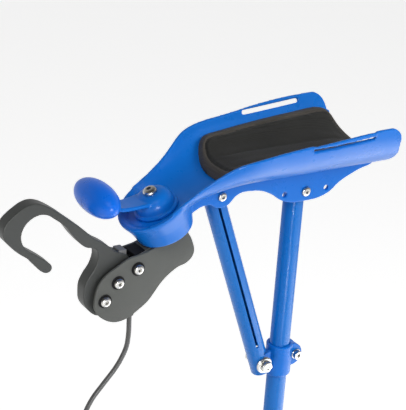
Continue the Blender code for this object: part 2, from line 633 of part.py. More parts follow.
# ---------------------------------------------------------------- brake unit under the hub
PLATE = [
    (140.0, -17.0), (156.0, -24.1), (182.0, -35.9), (191.6, -38.3), (201.6, -39.4), (213.9, -44.9), (223.6, -50.0), (231.5, -56.0),
    (235.0, -61.0), (236.6, -69.2), (238.3, -77.5), (237.4, -88.5), (233.7, -94.2), (224.4, -102.0), (216.2, -105.4), (207.9, -105.8),
    (198.8, -103.3), (189.7, -98.0), (178.9, -90.4), (171.8, -81.9), (165.6, -74.1), (157.6, -66.7), (146.5, -59.9), (137.0, -57.2),
    (130.4, -51.9), (128.2, -45.0), (132.0, -32.0), (136.3, -24.6),
]
WEB = [
    (141.0, -17.8), (156.0, -24.4), (182.0, -36.2), (190.0, -39.0), (184.4, -46.0), (184.0, -58.0), (176.0, -70.0), (165.0, -69.5),
    (157.6, -63.7), (146.5, -57.0), (137.0, -54.4), (132.0, -49.9), (130.5, -45.0), (134.0, -32.0), (137.5, -25.0),
]
plate_far = slab("plate", PLATE, -PLATE_OUT, -PLATE_IN)
join(plate_far, slab("web", WEB, -PLATE_IN - 0.8, PLATE_IN - GAP))
ferrule = rod("ferrule", (FERRULE_X, 0, FERRULE_LOW), (FERRULE_X, 0, -90.0), 4.5, 12)
join(ferrule, slab("bracket", [(186.0, -88.0), (198.0, -88.0), (198.0, -100.5), (191.0, -97.0), (186.0, -93.0)], -PLATE_IN - 0.8, 4.0))
join(plate_far, ferrule)
cut(plate_far, rod("bore", (FERRULE_X, 0, -130), (FERRULE_X, 0, -80), CABLE_R + 0.8, 10))
plate_near = slab("plate", PLATE, PLATE_IN, PLATE_OUT)
for x, z in PLATE_SCREWS:
    cut(plate_far, rod("hole", (x, -30, z), (x, 30, z), 3.0 + GAP, 10))
    cut(plate_near, rod("hole", (x, -30, z), (x, 30, z), 3.0 + GAP, 10))
support_piece(plate_near, "brake_plate_inner", "dark_grey", (192.0, PLATE_IN, -70.0))
support_piece(plate_far, "brake_plate_outer", "dark_grey", (192.0, -PLATE_IN, -70.0))
for number, (x, z) in enumerate(PLATE_SCREWS, 1):
    one = turned("screw", (x, 0, z), (0, 1, 0), [
        (-18.6, 5.0), (-PLATE_OUT - GAP, 5.4), (-PLATE_OUT - GAP, 3.0), (PLATE_OUT + GAP, 3.0),
        (PLATE_OUT + GAP, 6.2), (PLATE_OUT + 2.6, 5.6), (PLATE_OUT + 4.2, 3.4)], 10)
    support_piece(one, f"plate_screw_{number}", "steel", (x, 0, z))

LEVER = [
    (213.6, -33.0), (220.5, -26.6), (227.0, -21.7), (233.5, -17.6), (240.0, -12.4), (246.5, -6.0), (252.9, -0.4), (259.2, 4.9), (265.5, 10.1),
    (271.7, 15.3), (277.8, 19.9), (283.9, 24.1), (289.9, 27.4), (295.9, 29.4), (301.8, 29.5), (307.7, 27.7), (313.5, 24.4),
    (319.4, 20.4), (325.0, 15.4), (328.2, 10.0), (328.8, 4.0), (326.6, -2.4), (322.0, -8.2), (316.8, -13.8), (311.0, -18.8), (305.0, -23.4), (300.0, -28.6),
    (295.4, -34.4), (290.6, -39.2), (285.8, -41.6), (281.8, -40.8), (279.9, -38.0), (280.6, -34.6), (286.5, -28.8), (292.6, -23.9), (298.7, -19.4),
    (304.7, -15.0), (309.0, -9.4), (310.9, -3.0), (310.2, 3.6), (307.2, 9.6), (303.0, 13.6), (298.0, 16.4), (291.6, 17.6), (284.4, 15.9), (278.3, 11.4),
    (272.2, 6.6), (266.0, 0.7), (259.6, -8.0), (253.3, -14.4), (247.0, -18.4), (241.0, -21.6), (237.0, -28.0), (235.4, -36.0), (237.0, -45.0),
    (241.5, -53.0), (246.3, -65.0), (246.4, -78.0), (241.6, -89.6), (233.4, -96.6), (224.0, -98.6), (212.0, -96.0), (203.6, -89.0),
    (201.4, -76.0), (201.4, -60.0), (204.4, -46.0),
]
lever = slab("lever", LEVER, -LEVER_HALF, LEVER_HALF)
cut(lever, rod("bore", (LEVER_PIVOT[0], -30, LEVER_PIVOT[1]), (LEVER_PIVOT[0], 30, LEVER_PIVOT[1]), 3.0 + GAP, 10),
    rod("slot", (PLATE_SCREWS[0][0], -30, PLATE_SCREWS[0][1]), (PLATE_SCREWS[0][0], 30, PLATE_SCREWS[0][1]), 7.0, 12))
support_piece(lever, "brake_lever", "lever_grey", (LEVER_PIVOT[0], 0, LEVER_PIVOT[1]))

# ---------------------------------------------------------------- base tube: two rails joined at the front
RAIL = [
    (-318.0, 255.0, 71.0), (-300.0, 255.0, 75.0), (-262.0, 254.0, 88.0), (-205.0, 250.0, 122.0), (-140.0, 245.0, 160.0),
    (-75.0, 240.0, 186.0), (0.0, 235.0, 200.0), (90.0, 230.0, 207.0), (180.0, 225.0, 210.0), (262.0, 221.0, 211.0),
    (316.0, 214.0, 211.0), (342.0, 197.0, 211.0), (353.0, 165.0, 211.0), (355.0, 120.0, 211.0), (355.0, 50.0, 211.0),
]
half_line = smooth_line(RAIL, 16)
full_line = [Vector(p) for p in half_line] + [Vector((p[0], -p[1], p[2])) for p in reversed(half_line)]


def rail_z(x):
    for a, b in zip(half_line, half_line[1:]):
        if a.x <= x <= b.x:
            return a.z + (b.z - a.z) * (x - a.x) / (b.x - a.x)
    return half_line[-1].z


def rail_y(x):
    for a, b in zip(half_line, half_line[1:]):
        if a.x <= x <= b.x:
            return a.y + (b.y - a.y) * (x - a.x) / (b.x - a.x)
    return half_line[-1].y


shoe_z = rail_z(SHOE_PIVOT[0])
base_tube = pipe("base_tube", full_line, RAIL_R, 10)
ends = [full_line[0] * 2 - full_line[1]] + full_line + [full_line[-1] * 2 - full_line[-2]]
hollow = pipe("hollow", ends, RAIL_BORE, 10)
for side in (1, -1):
    join(base_tube, rod("boss", (REAR_X, side * 240.0, WHEEL_R), (REAR_X, side * 270.0, WHEEL_R), 15.0, 12))
cut(base_tube, hollow)
for side in (1, -1):
    join(base_tube, rod("socket", (CASTER_X, side * CASTER_Y, 186.0), (CASTER_X, side * CASTER_Y, 240.0), CASTER_SOCKET_R, 12))
    join(base_tube, rod("stub", (SHOE_PIVOT[0], side * (rail_y(SHOE_PIVOT[0]) + 9.0), shoe_z), (SHOE_PIVOT[0], side * 306.0, shoe_z), 5.0, 8))
    cut(base_tube,
        rod("axle", (REAR_X, side * 200.0, WHEEL_R), (REAR_X, side * 330.0, WHEEL_R), 5.0 + GAP, 12),
        rod("stem", (CASTER_X, side * CASTER_Y, 150.0), (CASTER_X, side * CASTER_Y, 236.0), 6.0 + GAP, 12))
    # a drain hole under the front cross tube
    cut(base_tube, rod("drain", (355.0, side * 70.0, 190.0), (355.0, side * 70.0, 211.0), 2.5, 8))
place(base_tube, "blue_paint", (0, 0, 200))
base_tube.name = "base_tube"

# ---------------------------------------------------------------- sleeve with its brace
sy = -SUPPORT_Y
sleeve = rod("sleeve", (0, sy, 190.0), (0, sy, SLEEVE_TOP), SLEEVE_R, 18)
brace = pipe("brace", smooth_line([(-2.0, sy, 470.0), (-60.0, sy - 1, 410.0), (-120.0, sy - 4, 290.0), (-150.0, -246.0, 150.0)], 8), 9.0, 10)
boss = rod("boss", (0, sy - 10, KNOB_Z), (0, sy - 24.0, KNOB_Z), 9.0, 12)
join(sleeve, brace, boss)
rail_line = [Vector((p.x, -p.y, p.z)) for p in half_line]
cut(sleeve, pipe("rail_room", rail_line, RAIL_R + 0.9, 12),
    slab("under", [(-400, 0), (400, 0), (400, 200), (130, 206), (0, 199), (-75, 185), (-140, 159), (-205, 121), (-262, 87), (-400, 60)], -400, -100),
    rod("bore", (0, sy, 214.0), (0, sy, 700.0), SLEEVE_BORE, 18),
    rod("thread", (0, sy - 5, KNOB_Z), (0, sy - 40, KNOB_Z), 4.0 + GAP, 12))
right_piece(sleeve, "sleeve", "blue_paint", (0, sy, 400))

# ---------------------------------------------------------------- front hoop with its centre stay
HOOP = [(4.0, -235.0, 545.0), (52.0, -226.0, 553.0), (104.0, -182.0, 561.0), (140.0, -110.0, 566.0), (152.0, -40.0, 568.0),
        (152.0, 40.0, 568.0), (140.0, 110.0, 566.0), (104.0, 182.0, 561.0), (52.0, 226.0, 553.0), (4.0, 235.0, 545.0)]
hoop_line = smooth_line(HOOP, 15)
hoop = pipe("hoop", hoop_line, HOOP_R, 10)
stay = pipe("stay", smooth_line([(146.0, 0, 567.0), (200.0, 0, 530.0), (262.0, 0, 420.0), (318.0, 0, 300.0), (352.0, 0, 205.0)], 7), HOOP_R, 10)
join(hoop, stay)
cut(hoop, rod("sleeve_room", (0, -235, 500), (0, -235, 600), SLEEVE_R + GAP, 20),
    rod("sleeve_room", (0, 235, 500), (0, 235, 600), SLEEVE_R + GAP, 20),
    rod("rail_room", (355.0, -60, 211.0), (355.0, 60, 211.0), RAIL_R + 0.9, 12))
cut(hoop, oriented_box("below", (355.0, 0, 190.0), (1, 0, 0), (0, 1, 0), (0, 0, 1), 40, 40, 21))
place(hoop, "blue_paint", (0, 0, 560))
hoop.name = "front_hoop"

# ---------------------------------------------------------------- height clamp knob
knob = turned("knob", (0, sy, KNOB_Z), (0, -1, 0), [
    (POST_R + GAP, 3.4), (POST_R + 1.2, 4.0), (24.6, 4.0), (24.6, 10.0), (28.0, 17.0), (40.0, 18.0), (43.5, 13.0)], 18)
for i in range(6):
    a = 2 * math.pi * i / 6
    cx, cz = 20.5 * math.cos(a), KNOB_Z + 20.5 * math.sin(a)
    cut(knob, rod("flute", (cx, sy - 20, cz), (cx, sy - 60, cz), 5.2, 6))
right_piece(knob, "height_clamp_knob", "knob_black", (0, sy - 34.0, KNOB_Z))

# ---------------------------------------------------------------- wheels
def tyre_and_rim(name_tyre, name_rim, centre, mirror_list):
    cx, cy, cz = centre
    tyre = turned_ring(name_tyre, (cx, cy, cz), (0, 1, 0), [
        (-WHEEL_HALF + 1.0, TYRE_R_IN), (-WHEEL_HALF, 68.0), (-WHEEL_HALF + 8.0, WHEEL_R),
        (WHEEL_HALF - 8.0, WHEEL_R), (WHEEL_HALF, 68.0), (WHEEL_HALF - 1.0, TYRE_R_IN)], 24)
    rim = turned_ring(name_rim, (cx, cy, cz), (0, 1, 0), [
        (-14.0, TYRE_R_IN - GAP), (14.0, TYRE_R_IN - GAP), (4.5, 47.0), (4.5, 17.0), (14.0, 13.0), (14.0, 5.3),
        (-14.0, 5.3), (-14.0, 13.0), (-4.5, 17.0), (-4.5, 47.0)], 24)
    right_piece(tyre, name_tyre, "tyre_grey", centre)
    right_piece(rim, name_rim, "rim_grey", centre)


tyre_and_rim("rear_tyre", "rear_rim", (REAR_X, -REAR_Y, WHEEL_R), None)
tyre_and_rim("front_tyre", "front_rim", (CASTER_X - CASTER_TRAIL, -CASTER_Y, WHEEL_R), None)
rear_axle = turned("axle", (REAR_X, -REAR_Y, WHEEL_R), (0, -1, 0), [
    (-59.0, 7.4), (-52.3, 8.0), (-52.3, 5.0), (-21.7, 5.0), (-21.7, 9.0), (-14.3, 9.0), (-14.3, 5.0), (14.3, 5.0), (14.3, 9.0), (20.5, 8.0)], 10)
right_piece(rear_axle, "rear_axle", "steel", (REAR_X, -REAR_Y, WHEEL_R))

# ---------------------------------------------------------------- caster fork
fx, fy = CASTER_X - CASTER_TRAIL, -CASTER_Y
crown = []
for i in range(9):
    a = -math.pi / 2 + math.pi * i / 8
    crown.append((CASTER_X + 17.0 * math.cos(a), fy + 17.0 * math.sin(a)))
crown += [(fx - 6.0, fy + 23.5), (fx - 6.0, fy - 23.5)]
fork = loft("fork", [[(x, y, 163.0) for x, y in crown], [(x, y, 185.4) for x, y in crown]])
cut(fork, rod("lighten", (fx - 40, fy, 160.0), (CASTER_X + 40, fy, 160.0), 14.0, 12))
for side in (1, -1):
    leg = []
    for i in range(7):
        a = math.pi + math.pi * i / 6
        leg.append((fx + 12.0 * math.cos(a), WHEEL_R + 12.0 * math.sin(a)))
    leg += [(CASTER_X + 8.0, 170.0), (CASTER_X + 8.0, 184.0), (fx - 6.0, 184.0)]
    join(fork, slab("leg", leg, fy + side * 18.5, fy + side * 23.0))
join(fork, rod("stem", (CASTER_X, fy, 170.0), (CASTER_X, fy, 232.0), 6.0, 12))
cut(fork, rod("axle", (fx, fy - 40, WHEEL_R), (fx, fy + 40, WHEEL_R), 5.0 + GAP, 12))
right_piece(fork, "caster_fork", "rim_grey", (CASTER_X, fy, 185.0))
caster_axle = turned("axle", (fx, fy, WHEEL_R), (0, 1, 0), [
    (-28.6, 7.2), (-23.3, 8.0), (-23.3, 5.0), (23.3, 5.0), (23.3, 8.0), (28.4, 7.2)], 10)
right_piece(caster_axle, "caster_axle", "steel", (fx, fy, WHEEL_R))

# ---------------------------------------------------------------- brake shoe over the rear tyre
a0, a1, r0 = math.radians(42), math.radians(82), WHEEL_R + 3.0
shoe_outline = []
for i in range(6):
    a = a0 + (a1 - a0) * i / 5
    shoe_outline.append((REAR_X + r0 * math.cos(a), WHEEL_R + r0 * math.sin(a)))
for i in range(6):
    a = a1 - (a1 - a0) * i / 5
    shoe_outline.append((REAR_X + (r0 + 9.0) * math.cos(a), WHEEL_R + (r0 + 9.0) * math.sin(a)))
shoe = slab("shoe", shoe_outline, -REAR_Y - 13.0, -REAR_Y + 13.0)
px, pz = SHOE_PIVOT[0], shoe_z
arm_plate = [(px + 9.0, pz - 4.0), (px + 9.5, pz + 5.0), (px + 3.0, pz + 10.5), (px - 18.0, pz + 44.0), (px - 27.0, pz + 46.0),
             (px - 62.0, pz + 42.0), (px - 70.0, pz + 36.0), (px - 62.0, pz + 31.0), (px - 34.0, pz + 27.0), (px - 9.0, pz + 3.0), (px - 8.0, pz - 6.0), (px, pz - 9.5)]
join(shoe, slab("shoe_arm", arm_plate, -REAR_Y - 5.0, -REAR_Y + 5.0))
cut(shoe, rod("bore", (px, -330, pz), (px, -200, pz), 5.0 + GAP, 12))
cut(shoe, rod("anchor", (px - 22.0, -330, pz + 38.0), (px - 22.0, -200, pz + 38.0), 2.8, 14))
right_piece(shoe, "brake_shoe", "knob_black", (px, -REAR_Y, pz))

# ---------------------------------------------------------------- brake cable, housing to shoe
CABLE = [
    W(191.5, 0, -91.0), W(191.5, 0, -104.0), W(191.3, 0, -117.0), W(191.3, 0, -130.0), W(193.2, 0, -144.5), W(199.3, 0, -157.8), W(205.9, 0, -167.4), W(218.8, 0, -181.8), W(231.0, 0, -196.5),
    W(239.0, 0, -214.0), W(240.0, 0, -236.0), W(230.0, -2, -262.0), W(206.0, -6, -294.0), W(166.0, -12, -332.0), W(116.0, -18, -366.0), W(68.0, -21, -398.0), W(34.0, -21, -434.0), W(17.0, -18.5, -474.0), W(10.0, -17.0, -520.0),
    W(9.0, -16.5, -580.0), W(9.0, -16.5, -650.0), W(8.0, -17.5, -705.0), W(-4.0, -21.0, -742.0), W(-34.0, -23.0, -764.0), W(-80.0, -24.0, -777.0), W(-130.0, -27.0, -796.0),
    W(-168.0, -34.0, -806.0), W(-196.0, -44.0, -808.0), (px - 11.0, -286.0, pz + 49.0), (px - 20.0, -286.0, pz + 49.6),
]
line = smooth_line(CABLE, 44)
path = bpy.data.curves.new("brake_cable_r", "CURVE")
path.dimensions = "3D"
path.bevel_depth = CABLE_R * 0.001
path.bevel_resolution = 2
path.use_fill_caps = True
spline = path.splines.new("POLY")
spline.points.add(len(line) - 1)
for i, p in enumerate(line):
    spline.points[i].co = (p.x * 0.001, p.y * 0.001, p.z * 0.001, 1.0)
path.materials.append(MATERIALS["cable_black"])
cable = bpy.data.objects.new("brake_cable_r", path)
bpy.context.scene.collection.objects.link(cable)
path_l = path.copy()
path_l.name = "brake_cable_l"
for point in path_l.splines[0].points:
    point.co[1] = -point.co[1]
cable_l = bpy.data.objects.new("brake_cable_l", path_l)
bpy.context.scene.collection.objects.link(cable_l)

# ---------------------------------------------------------------- the left side mirrors the right
for obj, base_name in RIGHT:
    mirrored(obj, base_name + "_l")
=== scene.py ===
"""A wheeled forearm walker, set in a plain pale studio and seen from the inner front upper side of its
right forearm support.

Each support is described in its own frame, in millimetres: x forward from the post's axis, y from the
support's middle plane towards the walker's middle, z up from the tilt pivot. The left one mirrors it.
"""

import math

import bmesh
import bpy
import numpy as np
from mathutils import Matrix, Vector, kdtree, noise


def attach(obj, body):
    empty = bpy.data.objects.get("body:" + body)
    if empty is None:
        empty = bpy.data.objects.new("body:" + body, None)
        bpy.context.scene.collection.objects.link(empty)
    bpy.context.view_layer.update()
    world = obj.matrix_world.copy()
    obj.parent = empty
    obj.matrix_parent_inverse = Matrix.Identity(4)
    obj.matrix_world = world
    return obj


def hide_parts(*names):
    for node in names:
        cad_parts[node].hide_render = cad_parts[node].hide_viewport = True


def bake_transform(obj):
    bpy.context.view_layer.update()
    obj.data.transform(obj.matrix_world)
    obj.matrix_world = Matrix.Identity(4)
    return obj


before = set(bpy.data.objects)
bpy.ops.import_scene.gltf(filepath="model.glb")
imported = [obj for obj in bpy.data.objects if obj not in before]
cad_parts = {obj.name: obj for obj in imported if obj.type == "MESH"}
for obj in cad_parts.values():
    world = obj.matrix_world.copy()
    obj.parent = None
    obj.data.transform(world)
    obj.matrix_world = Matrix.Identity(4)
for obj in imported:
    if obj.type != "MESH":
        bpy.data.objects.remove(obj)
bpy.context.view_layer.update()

GAP = 0.3
SUPPORT_Y, PIVOT_Z = 235.0, 980.0
POST_R, POST_BORE, POST_TOP, POST_BOTTOM = 11.0, 9.2, 12.0, -600.0
SLEEVE_R, SLEEVE_BORE, SLEEVE_TOP = 14.0, 11.3, 620.0
CHEEK_IN, CHEEK_OUT = 15.5, 19.5
STRUT_R, STRUT_BORE = 11.0, 8.8
STRUT_TOP, STRUT_FOOT = (103.6, 10.5), (27.0, -201.0)
COLLAR_R, COLLAR_TOP, COLLAR_LOW = 14.5, -185.0, -221.0
COLLAR_BOLT = (-17.0, -199.0)
HUB_AXIS = Vector((0.4147, 0.0, 0.9100))
HUB_TILT = math.radians(24.5)
HUB_FOOT, HUB_FOOT_R = (155.0, -23.0), 29.0
RECESS, RECESS_R = (166.0, 1.4), 29.0
RIM, RIM_R, RIM_TILT, RIM_WALL = (172.0, 10.3), 40.0, math.radians(34.0), 3.0
EGG, EGG_HALF_LENGTH, EGG_R = (231.5, 22.3), 35.5, 16.2
PLATE_IN, PLATE_OUT, LEVER_HALF = 11.0, 14.0, 7.3
LEVER_PIVOT = (213.2, -63.2)
PLATE_SCREWS = [(227.0, -80.0), (213.2, -63.2), (192.0, -52.5)]
FERRULE_X, FERRULE_LOW, CABLE_R = 191.5, -108.5, 2.5
RAIL_R = 12.5
WHEEL_R, TYRE_R_IN, WHEEL_HALF = 75.0, 59.0, 16.0
REAR_X, REAR_Y = -300.0, 292.0
CASTER_X, CASTER_Y, CASTER_TRAIL = 340.0, 205.0, 40.0
HOOP_R, KNOB_Z, SHOE_X = 11.0, 585.0, -205.0

FLOOR_GLOW = 0.66
SKY = [(0.0, 1.0), (0.45, 0.95), (0.72, 0.35), (1.0, 0.22)]
BACKDROP = (236.0, 0.66, 0.16)
# azimuth, elevation, distance, size, power, whether it is a reflector card seen only as a reflection
KEY = (118.0, 24.0, 2.6, (1.3, 1.3), 38.0, False)
FILL = (48.0, 46.0, 2.8, (1.6, 1.6), 36.0, False)
BOUNCE = (72.0, 0.0, 1.7, (0.35, 0.35), 19.0, True)
CARD = (154.0, -52.0, 0.55, (0.5, 0.5), 1.8, True)

TROUGH = [
    (-77.0, 68.9, 75.0, 20.0), (-40.0, 68.2, 73.9, 20.0), (0.0, 67.3, 70.5, 20.0), (40.0, 64.2, 65.8, 20.0),
    (60.0, 62.9, 63.4, 20.0), (75.0, 62.5, 61.6, 20.0), (88.0, 61.4, 59.5, 19.8), (98.0, 59.4, 57.3, 18.9),
    (107.0, 56.6, 54.7, 17.6), (115.0, 53.2, 50.6, 16.0), (124.0, 49.0, 44.4, 13.8), (134.0, 45.0, 37.0, 10.9),
    (146.0, 42.0, 28.2, 6.6), (159.0, 40.2, 19.0, 0.7), (172.0, 39.7, 10.3, -5.2),
]
TROUGH_WALL, TROUGH_FLOOR = 3.6, 3.9
SECTION = [
    (0.0, 0.0), (0.213, 0.012), (0.40, 0.070), (0.58, 0.170), (0.73, 0.310), (0.84, 0.470),
    (0.92, 0.645), (0.97, 0.820), (1.0, 1.0),
]
SECTION_FRONT = [
    (0.0, 0.0), (0.30, 0.0), (0.46, 0.025), (0.60, 0.09), (0.71, 0.20), (0.80, 0.35),
    (0.88, 0.54), (0.945, 0.76), (1.0, 1.0),
]


# ---------------------------------------------------------------- modelling helpers (millimetres)
def body_of_points(name, points, faces):
    data = bpy.data.meshes.new(name)
    data.from_pydata([tuple(c * 0.001 for c in p) for p in points], [], faces)
    form = bmesh.new()
    form.from_mesh(data)
    bmesh.ops.remove_doubles(form, verts=form.verts, dist=1e-6)
    bmesh.ops.recalc_face_normals(form, faces=form.faces)
    if form.calc_volume(signed=True) < 0:
        bmesh.ops.reverse_faces(form, faces=form.faces)
    form.to_mesh(data)
    form.free()
    obj = bpy.data.objects.new(name, data)
    bpy.context.scene.collection.objects.link(obj)
    return obj


def loft(name, rings):
    n = len(rings[0])
    points = [p for ring in rings for p in ring]
    faces = []
    for i in range(len(rings) - 1):
        for j in range(n):
            k = (j + 1) % n
            faces.append((i * n + j, i * n + k, (i + 1) * n + k, (i + 1) * n + j))
    faces.append(tuple(range(n)))
    faces.append(tuple(range((len(rings) - 1) * n, len(rings) * n)))
    return body_of_points(name, points, faces)


def ring_loop(name, rings):
    n, m = len(rings[0]), len(rings)
    points = [p for ring in rings for p in ring]
    faces = []
    for i in range(m):
        a, b = i * n, ((i + 1) % m) * n
        for j in range(n):
            k = (j + 1) % n
            faces.append((a + j, a + k, b + k, b + j))
    return body_of_points(name, points, faces)


def circle_points(centre, u, v, radius, count, start=0.0):
    c, u, v = Vector(centre), Vector(u), Vector(v)
    return [
        tuple(c + radius * (math.cos(start + 2 * math.pi * i / count) * u + math.sin(start + 2 * math.pi * i / count) * v))
        for i in range(count)
    ]


def axes_across(direction):
    d = Vector(direction).normalized()
    side = Vector((0, 1, 0)) if abs(d.y) < 0.9 else Vector((1, 0, 0))
    u = side.cross(d).normalized()
    return d, u, d.cross(u).normalized()


def rounded(profile, radius, steps=4, closed=False):
    """Rounds the corners of a profile of (distance, radius) points."""
    pts = [Vector((a, b)) for a, b in profile]
    n = len(pts)
    out = []
    for i, p in enumerate(pts):
        if not closed and i in (0, n - 1):
            out.append(tuple(p))
            continue
        a, b = pts[i - 1] - p, pts[(i + 1) % n] - p
        la, lb = a.length, b.length
        if la < 1e-6 or lb < 1e-6 or abs(a.normalized().dot(b.normalized()) + 1) < 0.01:
            out.append(tuple(p))
            continue
        r = min(radius, la * 0.45, lb * 0.45)
        s, e = p + a.normalized() * r, p + b.normalized() * r
        for k in range(steps + 1):
            t = k / steps
            q = s * (1 - t) ** 2 + p * (2 * t * (1 - t)) + e * t * t
            out.append(tuple(q))
    return out


def turned(name, origin, direction, profile, count=48):
    """A solid of revolution: profile is (distance along the axis, radius), from one end to the other."""
    d, u, v = axes_across(direction)
    base = Vector(origin)
    return loft(name, [circle_points(base + d * along, u, v, radius, count) for along, radius in profile])


def turned_ring(name, origin, direction, profile, count=64):
    d, u, v = axes_across(direction)
    base = Vector(origin)
    return ring_loop(name, [circle_points(base + d * along, u, v, radius, count) for along, radius in profile])


def rod(name, start, end, radius, count=48):
    start, end = Vector(start), Vector(end)
    return turned(name, start, end - start, [(0.0, radius), ((end - start).length, radius)], count)


def catmull(points, step, closed=False, corner=50.0):
    """Even points along a smooth curve through the given ones; turns sharper than corner degrees stay sharp."""
    pts = [Vector(p) for p in points]
    n = len(pts)
    sharp = set()
    for i in range(n):
        if not closed and i in (0, n - 1):
            sharp.add(i)
            continue
        a, b = pts[i] - pts[i - 1], pts[(i + 1) % n] - pts[i]
        if a.length > 1e-9 and b.length > 1e-9 and math.degrees(a.angle(b)) > corner:
            sharp.add(i)
    out = []
    last = n if closed else n - 1
    for i in range(last):
        p1, p2 = pts[i], pts[(i + 1) % n]
        p0 = p1 * 2 - p2 if i in sharp else pts[i - 1]
        j = (i + 1) % n
        p3 = p2 * 2 - p1 if j in sharp else pts[(i + 2) % n]
        t1 = max((p1 - p0).length, 1e-6) ** 0.5
        t2 = t1 + max((p2 - p1).length, 1e-6) ** 0.5
        t3 = t2 + max((p3 - p2).length, 1e-6) ** 0.5
        count = max(1, int(round((p2 - p1).length / step)))
        for s in range(count):
            t = t1 + (t2 - t1) * s / count
            a1 = p0 * ((t1 - t) / t1) + p1 * (t / t1)
            a2 = p1 * ((t2 - t) / (t2 - t1)) + p2 * ((t - t1) / (t2 - t1))
            a3 = p2 * ((t3 - t) / (t3 - t2)) + p3 * ((t - t2) / (t3 - t2))
            b1 = a1 * ((t2 - t) / t2) + a2 * (t / t2)
            b2 = a2 * ((t3 - t) / (t3 - t1)) + a3 * ((t - t1) / (t3 - t1))
            out.append(b1 * ((t2 - t) / (t2 - t1)) + b2 * ((t - t1) / (t2 - t1)))
    if not closed:
        out.append(pts[-1])
    return out


def smooth_line(points, count):
    """The route that the tubes follow: a centripetal curve, evenly spaced by length."""
    pts = [Vector(p) for p in points]
    fine = []
    for i in range(len(pts) - 1):
        p0 = pts[i - 1] if i > 0 else pts[i] * 2 - pts[i + 1]
        p1, p2 = pts[i], pts[i + 1]
        p3 = pts[i + 2] if i + 2 < len(pts) else pts[i + 1] * 2 - pts[i]
        t0 = 0.0
        t1 = t0 + max((p1 - p0).length, 1e-6) ** 0.5
        t2 = t1 + max((p2 - p1).length, 1e-6) ** 0.5
        t3 = t2 + max((p3 - p2).length, 1e-6) ** 0.5
        for s in range(24):
            t = t1 + (t2 - t1) * s / 24
            a1 = p0 * ((t1 - t) / (t1 - t0)) + p1 * ((t - t0) / (t1 - t0))
            a2 = p1 * ((t2 - t) / (t2 - t1)) + p2 * ((t - t1) / (t2 - t1))
            a3 = p2 * ((t3 - t) / (t3 - t2)) + p3 * ((t - t2) / (t3 - t2))
            b1 = a1 * ((t2 - t) / (t2 - t0)) + a2 * ((t - t0) / (t2 - t0))
            b2 = a2 * ((t3 - t) / (t3 - t1)) + a3 * ((t - t1) / (t3 - t1))
            fine.append(b1 * ((t2 - t) / (t2 - t1)) + b2 * ((t - t1) / (t2 - t1)))
    fine.append(pts[-1])
    lengths = [0.0]
    for a, b in zip(fine, fine[1:]):
        lengths.append(lengths[-1] + (b - a).length)
    out, j = [], 0
    for i in range(count):
        want = lengths[-1] * i / (count - 1)
        while j < len(fine) - 2 and lengths[j + 1] < want:
            j += 1
        span = lengths[j + 1] - lengths[j]
        out.append(fine[j].lerp(fine[j + 1], 0.0 if span == 0 else (want - lengths[j]) / span))
    return out


def pipe(name, line, radius, count=32, radii=None):
    line = [Vector(p) for p in line]
    rings, u = [], None
    for i, p in enumerate(line):
        ahead = (line[min(i + 1, len(line) - 1)] - line[max(i - 1, 0)]).normalized()
        if u is None:
            _, u, _ = axes_across(ahead)
        u = (u - ahead * u.dot(ahead)).normalized()
        v = ahead.cross(u)
        rings.append(circle_points(p, u, v, radius if radii is None else radii[i], count))
    return loft(name, rings)


def slab(name, outline, y0, y1, round_edges=0.0):
    """A plate in the xz plane from y0 to y1, with its edges rounded by insetting the outline."""
    outline = [(p[0], p[1]) for p in outline]
    if not round_edges:
        return loft(name, [[(x, y0, z) for x, z in outline], [(x, y1, z) for x, z in outline]])
    n = len(outline)
    area = sum(outline[i][0] * outline[(i + 1) % n][1] - outline[(i + 1) % n][0] * outline[i][1] for i in range(n))
    sign = 1 if area > 0 else -1
    normals = []
    for i in range(n):
        a, b = Vector(outline[i - 1]), Vector(outline[(i + 1) % n])
        t = (b - a).normalized()
        normals.append(Vector((-t.y, t.x)) * sign)
    lo, hi = min(y0, y1), max(y0, y1)
    r = round_edges
    rings = []
    for k in range(4):
        a = math.pi / 2 * k / 3
        inset, y = r * (1 - math.sin(a)), lo + r * (1 - math.cos(a))
        rings.append([(outline[i][0] + normals[i].x * inset, y, outline[i][1] + normals[i].y * inset) for i in range(n)])
    for k in range(4):
        a = math.pi / 2 * (3 - k) / 3
        inset, y = r * (1 - math.sin(a)), hi - r * (1 - math.cos(a))
        rings.append([(outline[i][0] + normals[i].x * inset, y, outline[i][1] + normals[i].y * inset) for i in range(n)])
    return loft(name, rings)


def smooth_slab(name, outline, y0, y1, step=1.5, round_edges=0.0, corner=50.0):
    pts = catmull([(x, z, 0) for x, z in outline], step, closed=True, corner=corner)
    return slab(name, [(p.x, p.y) for p in pts], y0, y1, round_edges)


def oriented_box(name, centre, a, b, c, ha, hb, hc):
    a, b, c, m = Vector(a), Vector(b), Vector(c), Vector(centre)
    corners = [[tuple(m + a * (ha * i) + b * (hb * j) + c * (hc * k)) for i, j in ((-1, -1), (1, -1), (1, 1), (-1, 1))] for k in (-1, 1)]
    return loft(name, corners)


def combine(obj, other, how):
    step = obj.modifiers.new(how.lower(), "BOOLEAN")
    step.operation = how
    step.solver = "EXACT"
    step.object = other
    apply_all(obj)
    drop(other)
    return obj


def apply_all(obj):
    bpy.context.view_layer.update()
    graph = bpy.context.evaluated_depsgraph_get()
    made = bpy.data.meshes.new_from_object(obj.evaluated_get(graph))
    obj.modifiers.clear()
    old = obj.data
    obj.data = made
    bpy.data.meshes.remove(old)
    return obj


def drop(obj):
    data = obj.data
    bpy.data.objects.remove(obj, do_unlink=True)
    if data.users == 0:
        bpy.data.meshes.remove(data)


def join(obj, *others):
    for other in others:
        combine(obj, other, "UNION")
    return obj


def cut(obj, *others):
    for other in others:
        combine(obj, other, "DIFFERENCE")
    return obj


